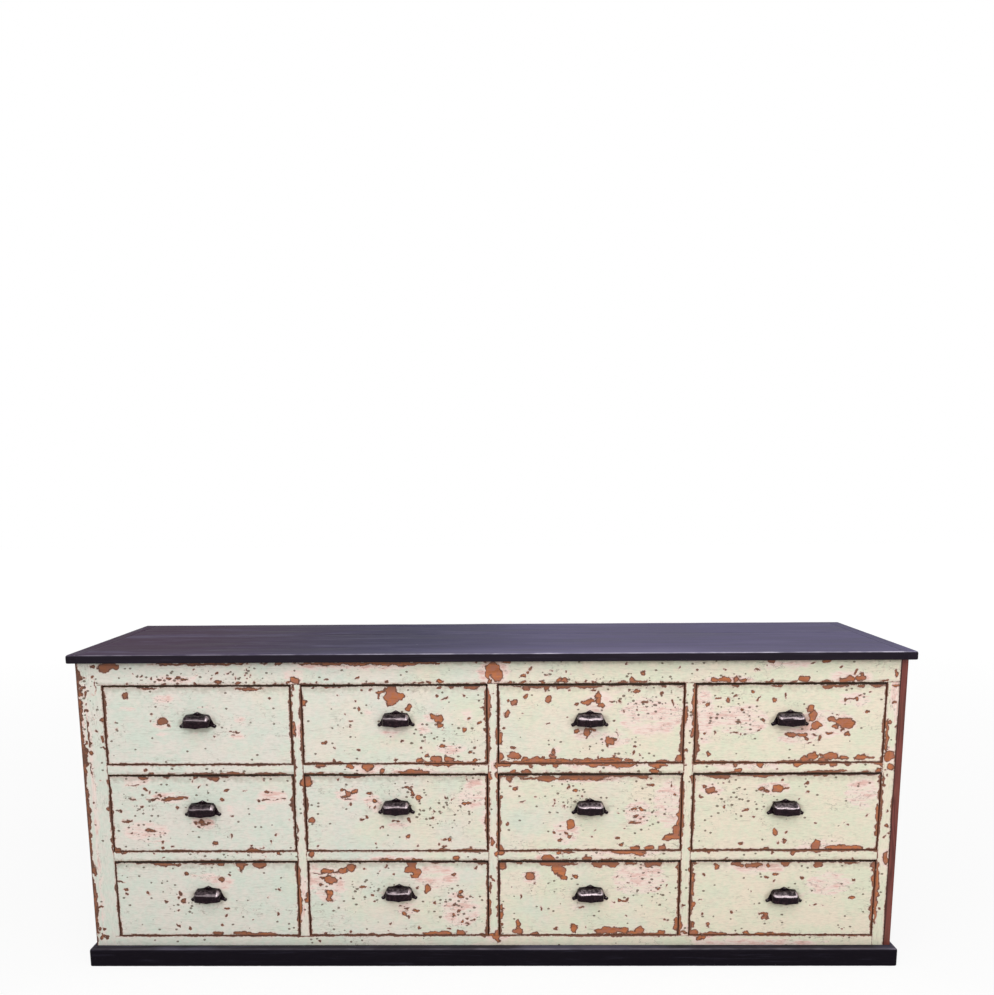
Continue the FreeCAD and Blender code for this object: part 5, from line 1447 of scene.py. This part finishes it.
# %% Pins at the ends of a front
LAP = 6.0  # wood left in front of the tails
TAILS, ROOT_SHARE, END_SHARE = 4, 0.46, 0.62  # widths of a tail, as shares of the pitch


def pin_outlines(low, high, side_low, side_high):
    """YZ outlines of the pins at one end of a front, from the level of the drawer side."""
    pitch = (side_high - side_low) / TAILS
    root, end = pitch * ROOT_SHARE / 2, pitch * END_SHARE / 2
    y0, y1 = low[1] + LAP, high[1]
    middles = [side_low + (number + 0.5) * pitch for number in range(TAILS)]
    outlines = [[(y0, low[2]), (y1, low[2]), (y1, middles[0] - root), (y0, middles[0] - end)]]
    for below, above in zip(middles, middles[1:]):
        outlines.append([(y0, below + end), (y1, below + root), (y1, above - root),
                         (y0, above - end)])
    outlines.append([(y0, middles[-1] + end), (y1, middles[-1] + root), (y1, high[2]),
                     (y0, high[2])])
    return outlines


# %% Build the drawer fronts
SIDE_THICKNESS = 12.0
GROOVE_DEPTH = 5.0
BOTTOM_RISE, BOTTOM_THICKNESS = 8.0, 6.0
PULL_DIRT_AND_SHADOW = (45, 19)  # half size of the area round a pull with grime and a painted shadow
PULL_SHADOW_DROP = 10  # and how far below the pull it lies, so that its painted shadow falls below the pull


def drawer_front(row, column):
    """A painted face in front of plain blocks: a core between the drawer's sides, and pins."""
    key = "r%dc%d" % (row, column)
    node, body = "drawer_" + key + "_front", "drawer_" + key
    low, high = box_mm(node)
    side_low, side_high = (corner[2] for corner in box_mm("drawer_" + key + "_box"))
    face_high = np.array([high[0], low[1] + LAP, high[2]])
    middle = ((low[0] + high[0]) / 2, (low[2] + high[2]) / 2)
    seed = 10 * row + column
    pull = [sum(ends) / 2 for ends in zip(*box_mm("drawer_" + key + "_pull"))]
    # Grime round the pull, with a painted shadow just below it.
    WEAR[key]["darkening"] = [(pull[0] - middle[0], pull[2] - middle[1] - PULL_SHADOW_DROP, *PULL_DIRT_AND_SHADOW)]
    parts = [painted_part(low, face_high, middle, WEAR[key], FRONT_EDGES[key], seed,
                          shade_and_dirt="top")]
    groove = side_low + BOTTOM_RISE
    y0, y1 = low[1] + LAP, high[1]
    core = [(y0, low[2]), (y1, low[2]), (y1, groove), (y1 - GROOVE_DEPTH, groove),
            (y1 - GROOVE_DEPTH, groove + BOTTOM_THICKNESS), (y1, groove + BOTTOM_THICKNESS),
            (y1, high[2]), (y0, high[2])]
    parts.append(prism(core, low[0] + SIDE_THICKNESS, high[0] - SIDE_THICKNESS))
    for outline in pin_outlines(low, high, side_low, side_high):
        parts.append(prism(outline, low[0], low[0] + SIDE_THICKNESS))
        parts.append(prism(outline, high[0] - SIDE_THICKNESS, high[0]))
    return make_piece("front_" + key, parts, [GREEN_LEVEL, PINE["x"]], body,
                      [node])


fronts = [drawer_front(row, column) for row, column in DRAWERS]
print(len(fronts), "drawer fronts with", sum(len(front.data.vertices) for front in fronts),
      "corners")

# %% [markdown]
# ## The face frame
#
# Stiles, rails and uprights are flush with each other, glued and painted over. Their edges are
# worn only where a drawer rubs past, so each board says how wide each of its edges is worn, and
# JOINED for an edge that is glued to a neighbour. Beside a rail, an upright has no free edge, so
# the heights of the rails are left out there.

# %% Boards of the face frame
JOINED = None


def frame_piece(name, node, boards, material):
    """One piece of the face frame. Its boards are (low, high, origin, wear, edges, closed)."""
    parts = [painted_part(*board[:5], seed=31 + number + 3 * len(name), closed=board[5])
             for number, board in enumerate(boards)]
    return make_piece(name, parts, [material], "carcass", [node])


def single(node, origin_x, origin_z, wear, edges, closed=()):
    """The one board of a node. Wear is placed from its middle where an origin is None."""
    low, high = box_mm(node)
    centre = ((low[0] + high[0]) / 2, (low[2] + high[2]) / 2)
    origin = (centre[0] if origin_x is None else origin_x,
              centre[1] if origin_z is None else origin_z)
    return (low, high, origin, WEAR[wear], edges, closed)


def several(node, wear, upright, edges, closed=()):
    """The boards of a node that holds a row of them along X."""
    low, high = box_mm(node)
    boards = []
    for number, (x0, x1) in enumerate(spans(node)):
        own = WEAR[wear % (number + 1)] if upright else WEAR[wear]
        origin = ((x0 + x1) / 2, 0.0) if upright else (0.0, (low[2] + high[2]) / 2)
        boards.append((np.array([x0, low[1], low[2]]), np.array([x1, high[1], high[2]]),
                       origin, own, edges, closed))
    return boards


# %% Build the stiles, rails and uprights
OVER_ALL = 900.0  # a height above the whole counter
rail_levels = [(Z_RAIL_UPPER[0][2], Z_RAIL_UPPER[1][2]), (Z_RAIL_LOWER[0][2], Z_RAIL_LOWER[1][2])]
outside_rows = [(0.0, box_mm("bottom_rail")[1][2]), (box_mm("top_rail")[0][2], OVER_ALL)]
frame_piece("stile_left_painted", "stile_left", [single(
    "stile_left", None, 0.0, "stile_left", (JOINED, JOINED, JOINED, JOINED))], GREEN_UPRIGHT)
frame_piece("filler_left_painted", "filler_left", [single(
    "filler_left", None, 0.0, "filler_left", (JOINED, 1.8, JOINED, JOINED), rail_levels)],
    GREEN_UPRIGHT)
frame_piece("stile_right_painted", "stile_right", [single(
    "stile_right", None, 0.0, "stile_right", (2.0, 1.4, JOINED, JOINED),
    outside_rows + rail_levels)], GREEN_UPRIGHT)
frame_piece("top_rail_painted", "top_rail", [single(
    "top_rail", 0.0, None, "top_rail", (JOINED, 1.2, 2.0, JOINED))], GREEN_LEVEL)
frame_piece("bottom_rail_painted", "bottom_rail", [single(
    "bottom_rail", 0.0, None, "bottom_rail", (JOINED, JOINED, JOINED, 2.4))], GREEN_LEVEL)
frame_piece("uprights_painted", "uprights", several(
    "uprights", "upright_%d", True, (3.4, 3.0, JOINED, JOINED), rail_levels), GREEN_UPRIGHT)
for node in ("cross_rails_upper", "cross_rails_lower"):
    frame_piece(node + "_painted", node, several(
        node, node, False, (JOINED, JOINED, 1.6, 2.2)), GREEN_LEVEL)
print("face frame built")

# %% [markdown]
# ## The left side
#
# The side of the counter is one deep board, and its front edge lies flush in the face. That edge
# was painted with the face frame and has worn badly, while the outer face is stained. So the
# piece is a thin painted board in front and plain blocks of stained wood behind it, cut back
# where the back boards sit.

# %% The left side
SIDE_FILM = 2.0  # depth of the painted edge of the side
SIDE_WORN, SIDE_SEED = 9.0, 77  # width worn at its outer arris


def block_part(x0, x1, y0, y1, z0, z1):
    return prism([(y0, z0), (y1, z0), (y1, z1), (y0, z1)], x0, x1)


WEAR["side_left"] = {"chips": [
    (-6, 620, 5, 38), (6, 597, 4, 5), (1, 569, 6, 5), (-3, 527, 5, 16), (-4, 440, 4, 40),
    (0, 252, 5, 14), (4, 765, 3, 6), (2, 740, 5, 7), (0, 724, 5, 9), (4, 699, 3, 3),
    (7, 680, 3, 4), (-4, 680, 4, 30), (-5, 350, 4, 60), (-4, 180, 5, 40), (-5, 110, 4, 30),
    (2, 91, 3, 5), (6, 70, 4, 8), (5, 153, 3, 4)],
    "rubs": [(-2, 731, 12, 20), (-4, 620, 10, 60)], "specks": [(0, 690, 14, 60)]}


def left_side():
    """A painted front edge, and stained blocks behind it, round the rebate for the back."""
    low, high = box_mm("side_left")
    low_back = box_mm("back_boards")[0]
    film_low = np.array(low)
    film_high = np.array([high[0], low[1] + SIDE_FILM, high[2]])
    centre = ((low[0] + high[0]) / 2, 0.0)
    film = painted_part(film_low, film_high, centre, WEAR["side_left"],
                        (SIDE_WORN, JOINED, JOINED, JOINED), SIDE_SEED)
    behind = block_part(low[0], high[0], low[1] + SIDE_FILM, low_back[1], low[2], high[2])
    strip = block_part(low[0], low_back[0], low_back[1], high[1], low_back[2], high[2])
    foot = block_part(low[0], high[0], low_back[1], high[1], low[2], low_back[2])
    return make_piece("side_left_painted", [film, behind, strip, foot],
                      [GREEN_UPRIGHT, STAINED], "carcass", ["side_left"])


side = left_side()
print("left side of", len(side.data.vertices), "corners")

# %% [markdown]
# ## The black top and plinth
#
# Both are boards whose front corners are round in plan and whose upper arris is a soft nosing.
# They start as boxes with a grid on each side, with closer rows where an edge will be rounded.

# %% A box with a grid on each side
CLOSE_ROWS = (0.0, 0.6, 1.3, 2.1, 3.0, 4.0, 5.2, 6.6, 8.2, 10.0)
PLAIN_ROWS = (0.0, 0.4, 1.2)


def rows_between(low, high, step, low_rows, high_rows):
    """Positions from low to high, with closer rows at each end."""
    inner = np.linspace(low + low_rows[-1], high - high_rows[-1],
                        max(2, int(round((high - low) / step)) + 1))
    return np.concatenate([low + np.array(low_rows[:-1]), inner,
                           high - np.array(high_rows[-2::-1])])


def shell(xs, ys, zs):
    """A closed box whose six sides are grids through the given positions."""
    sizes = (len(xs), len(ys), len(zs))
    index, corners, faces = {}, [], []

    def corner(i, j, k):
        key = (i, j, k)
        if key not in index:
            index[key] = len(corners)
            corners.append((xs[i], ys[j], zs[k]))
        return index[key]

    for axis in range(3):
        first, second = [a for a in range(3) if a != axis]
        for end in (0, sizes[axis] - 1):
            for a in range(sizes[first] - 1):
                for b in range(sizes[second] - 1):
                    loop = []
                    for da, db in ((0, 0), (1, 0), (1, 1), (0, 1)):
                        key = [0, 0, 0]
                        key[axis], key[first], key[second] = end, a + da, b + db
                        loop.append(corner(*key))
                    faces.append(tuple(loop))
    return np.array(corners, float), faces


# %% [markdown]
# ### Round corners
#
# A round edge is made from a square one: close to the edge, each point's two distances from it
# are compared, and the point moves so that lines of equal largest distance turn into arcs. The
# front edge also waves by a fraction of a millimetre, which breaks up its line of light.

# %% Round corners and soft arrises
def squeezed(u, v):
    """Moves points of a square corner, measured from its inner corner, onto a round one."""
    largest = np.maximum(u, v)
    length = np.hypot(u, v)
    share = np.where(length > 1e-9, largest / np.maximum(length, 1e-9), 1.0)
    return u * share, v * share


def eased_edges(points, box, plan_radius, upper_radius, under_radius, seed):
    """Rounds the front corners and the upper and lower arrises of a board that fills a box."""
    low, high = box
    x, y, z = (points[:, n].copy() for n in range(3))
    middle, half = (low[0] + high[0]) / 2, (high[0] - low[0]) / 2
    side = np.sign(x - middle)
    u = np.clip((np.abs(x - middle) - (half - plan_radius)) / plan_radius, 0, None)
    v = np.clip((low[1] + plan_radius - y) / plan_radius, 0, None)
    in_corner = (u > 0) & (v > 0)
    new_u, new_v = squeezed(u, v)
    x = np.where(in_corner, middle + side * (half - plan_radius + new_u * plan_radius), x)
    y = np.where(in_corner, low[1] + plan_radius - new_v * plan_radius, y)
    arc = np.hypot(new_u, new_v)
    side_gap, front_gap = half - np.abs(x - middle), y - low[1]
    gap = np.where(in_corner, plan_radius * (1 - arc), np.minimum(side_gap, front_gap))
    facing_side = np.where(in_corner, new_u / np.maximum(arc, 1e-9),
                           (side_gap < front_gap).astype(float))
    facing_front = np.where(in_corner, new_v / np.maximum(arc, 1e-9),
                            (side_gap >= front_gap).astype(float))
    for radius, height, way in ((upper_radius, high[2] - z, 1.0), (under_radius, z - low[2], -1.0)):
        if radius <= 0:
            continue
        a = np.clip((radius - gap) / radius, 0, None)
        b = np.clip((radius - height) / radius, 0, None)
        near = (a > 0) & (b > 0)
        new_a, new_b = squeezed(a, b)
        inward = np.where(near, (a - new_a) * radius, 0.0)
        x -= side * facing_side * inward
        y += facing_front * inward
        z -= way * np.where(near, (b - new_b) * radius, 0.0)
    along = np.where(facing_side > 0.7, y, x)
    sway = 0.5 + 0.5 * wave(along, seed, 60.0)
    dents = np.clip(wave(along, seed + 3, 14.0), 0.0, 1.0) ** 2
    push = np.clip(1.0 - gap / 14.0, 0.0, 1.0) * (0.5 * np.clip(sway, 0, 1) + 0.5 * dents)
    x -= side * facing_side * push
    y += facing_front * push
    return np.stack([x, y, z], 1), gap


# %% [markdown]
# ### Hollows, joints and painted highlights
#
# Old planks are slightly hollow, and no two stay at quite the same height, so the joints between
# them show. The arrises carry a painted highlight in patches, which come from two lines of random
# notches.

# %% A black board
SAG, SAG_LENGTH, SAG_START = 0.25, 300.0, 20.0  # how hollow boards are, from where inwards
JOINT_SINK = 0.6  # how much the arris at a joint is worn down
LEVEL = 0.01  # corners this close to the top are the top


def black_board(name, node, pieces, box, radii, painted_highlight, materials, seed):
    """Boards of one node, each a range in X, Y and Z, eased as parts of one larger board.
    Painted_highlight says how far behind the arris its band of painted highlight lies, and how wide
    the band is."""
    parts = []
    for number, (xs, ys, zs, sink) in enumerate(pieces):
        square, faces = shell(xs, ys, zs)
        points, gap = eased_edges(square, box, *radii, seed)
        hollow = SAG * (1 + wave(square[:, 0], seed + number, SAG_LENGTH))
        drop = sink + hollow * np.clip(gap / SAG_START, 0, 1)
        joint = np.zeros(len(points))
        for axis in (0, 1):
            for line in (square[:, axis].min(), square[:, axis].max()):
                inner = box[0][axis] + 1 < line < box[1][axis] - 1
                if inner:
                    joint = np.maximum(joint, np.clip(1 - np.abs(square[:, axis] - line), 0, 1))
        points[:, 2] -= np.where(square[:, 2] > box[1][2] - LEVEL, drop + JOINT_SINK * joint, 0.0)
        height = box[1][2] - square[:, 2]
        # A band of painted highlight just behind the upper arris, in patches.
        middle = (gap - height - painted_highlight[0]) / painted_highlight[1]
        arris = np.clip(1.2 - np.abs(middle), 0, 1) * (np.maximum(gap, height) < radii[1] + 4)
        along = points[:, 0] + 2 * points[:, 1]
        patches = 0.5 + 0.6 * ragged(along, seed + 9, 110.0) + 0.4 * ragged(along, seed, 19.0)
        values = {"wear_and_highlight": arris * np.clip(patches, 0, 1), "rim": gap}
        parts.append((points, faces, 0, values))
    return make_piece(name, parts, materials, "carcass", [node])


# %% Build the top and the plinth
TOP_SEED, PLINTH_SEED = 3, 21
TOP_CORNER, TOP_NOSING, TOP_UNDER = 9.0, 7.0, 2.5
PLINTH_CORNER, PLINTH_ARRIS = 9.0, 7.0
# Where the band of painted highlight lies behind each arris, and how wide it is, in millimetres.
TOP_HIGHLIGHT_BAND, PLINTH_HIGHLIGHT_BAND = (1.0, 3.0), (4.0, 4.5)
END_LIPPING, BACK_PLANK = 37.0, 209.0  # widths of the end pieces and rear plank
REAR_SINK, END_SINK = 0.25, 0.35  # how far they lie below the front plank


def top_pieces():
    """Two planks between two end pieces, all eased as parts of one board."""
    box = (np.minimum(box_mm("top_end_left")[0], box_mm("top_board")[0]),
           np.maximum(box_mm("top_end_right")[1], box_mm("top_board")[1]))
    low, high = box
    radii = (TOP_CORNER, TOP_NOSING, TOP_UNDER)
    left_joint = low[0] + END_LIPPING
    right_joint = high[0] - END_LIPPING
    y_joint = high[1] - BACK_PLANK
    zs = rows_between(low[2], high[2], 4.0, (0.0, 0.6, 1.3, 2.5), CLOSE_ROWS[:8])
    front = rows_between(low[1], y_joint, 14.0, CLOSE_ROWS, PLAIN_ROWS)
    rear = rows_between(y_joint, high[1], 14.0, PLAIN_ROWS, PLAIN_ROWS)
    whole = rows_between(low[1], high[1], 14.0, CLOSE_ROWS, PLAIN_ROWS)
    across = rows_between(left_joint, right_joint, 8.0, PLAIN_ROWS, PLAIN_ROWS)
    black_board("top_planks_painted", "top_board",
                [(across, front, zs, 0.0), (across, rear, zs, REAR_SINK)], box, radii,
                TOP_HIGHLIGHT_BAND, [BLACK_TOP], TOP_SEED)
    for name, x0, x1, low_rows, high_rows in (
            ("left", low[0], left_joint, CLOSE_ROWS, PLAIN_ROWS),
            ("right", right_joint, high[0], PLAIN_ROWS, CLOSE_ROWS)):
        xs = rows_between(x0, x1, 5.0, low_rows, high_rows)
        black_board("top_end_" + name + "_painted", "top_end_" + name,
                    [(xs, whole, zs, END_SINK)], box, radii, TOP_HIGHLIGHT_BAND, [BLACK_ENDS],
                    TOP_SEED)


def plinth_pieces():
    """The front of the plinth and its two ends, eased as parts of one larger board."""
    low, high = box_mm("plinth_front")
    side_low, side_high = box_mm("plinth_left")
    box = (low, np.array([high[0], side_high[1], high[2]]))
    radii = (PLINTH_CORNER, PLINTH_ARRIS, 0.0)
    zs = rows_between(low[2], high[2], 5.0, PLAIN_ROWS, CLOSE_ROWS[:9])
    xs = rows_between(low[0], high[0], 8.0, CLOSE_ROWS, CLOSE_ROWS)
    ys = rows_between(low[1], high[1], 2.0, CLOSE_ROWS, PLAIN_ROWS)
    black_board("plinth_front_painted", "plinth_front", [(xs, ys, zs, 0.0)], box, radii,
                PLINTH_HIGHLIGHT_BAND, [BLACK_PLINTH], PLINTH_SEED)
    for name, low_rows, high_rows in (("left", CLOSE_ROWS[:9], PLAIN_ROWS),
                                      ("right", PLAIN_ROWS, CLOSE_ROWS[:9])):
        side_low, side_high = box_mm("plinth_" + name)
        xs = rows_between(side_low[0], side_high[0], 3.0, low_rows, high_rows)
        ys = rows_between(side_low[1], side_high[1], 10.0, PLAIN_ROWS, PLAIN_ROWS)
        black_board("plinth_" + name + "_painted", "plinth_" + name, [(xs, ys, zs, 0.0)], box,
                    radii, PLINTH_HIGHLIGHT_BAND, [BLACK_PLINTH_ENDS], PLINTH_SEED)


top_pieces()
plinth_pieces()
print("top and plinth built")

# %% [markdown]
# ## The pieces that keep the model's own shape
#
# Drawer boxes, runners, partitions, the back and the cast pulls already have their full shape in
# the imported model. Building them again would only add chances to be wrong, so they just get a
# material, with the grain along each board.

# %% Finishes on the pieces that keep the model's own shape
HIDDEN = {"x": ["bottom_board"], "y": ["runners", "kickers", "guides", "stops", "bearers"],
          "z": ["partitions", "back_boards"]}


def dress(node, material):
    """Gives a piece of the model a material, and leaves its mesh alone."""
    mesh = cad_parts[node].data
    mesh.materials.clear()
    mesh.materials.append(material)


for way, nodes in HIDDEN.items():
    for node in nodes:
        dress(node, PINE[way])
dress("side_right", STAINED)
for row, column in DRAWERS:
    dress("drawer_r%dc%d_box" % (row, column), PINE["y"])
    dress("drawer_r%dc%d_pull" % (row, column), CASTING)
print("dressed", sum(len(nodes) for nodes in HIDDEN.values()), "kinds of hidden boards")
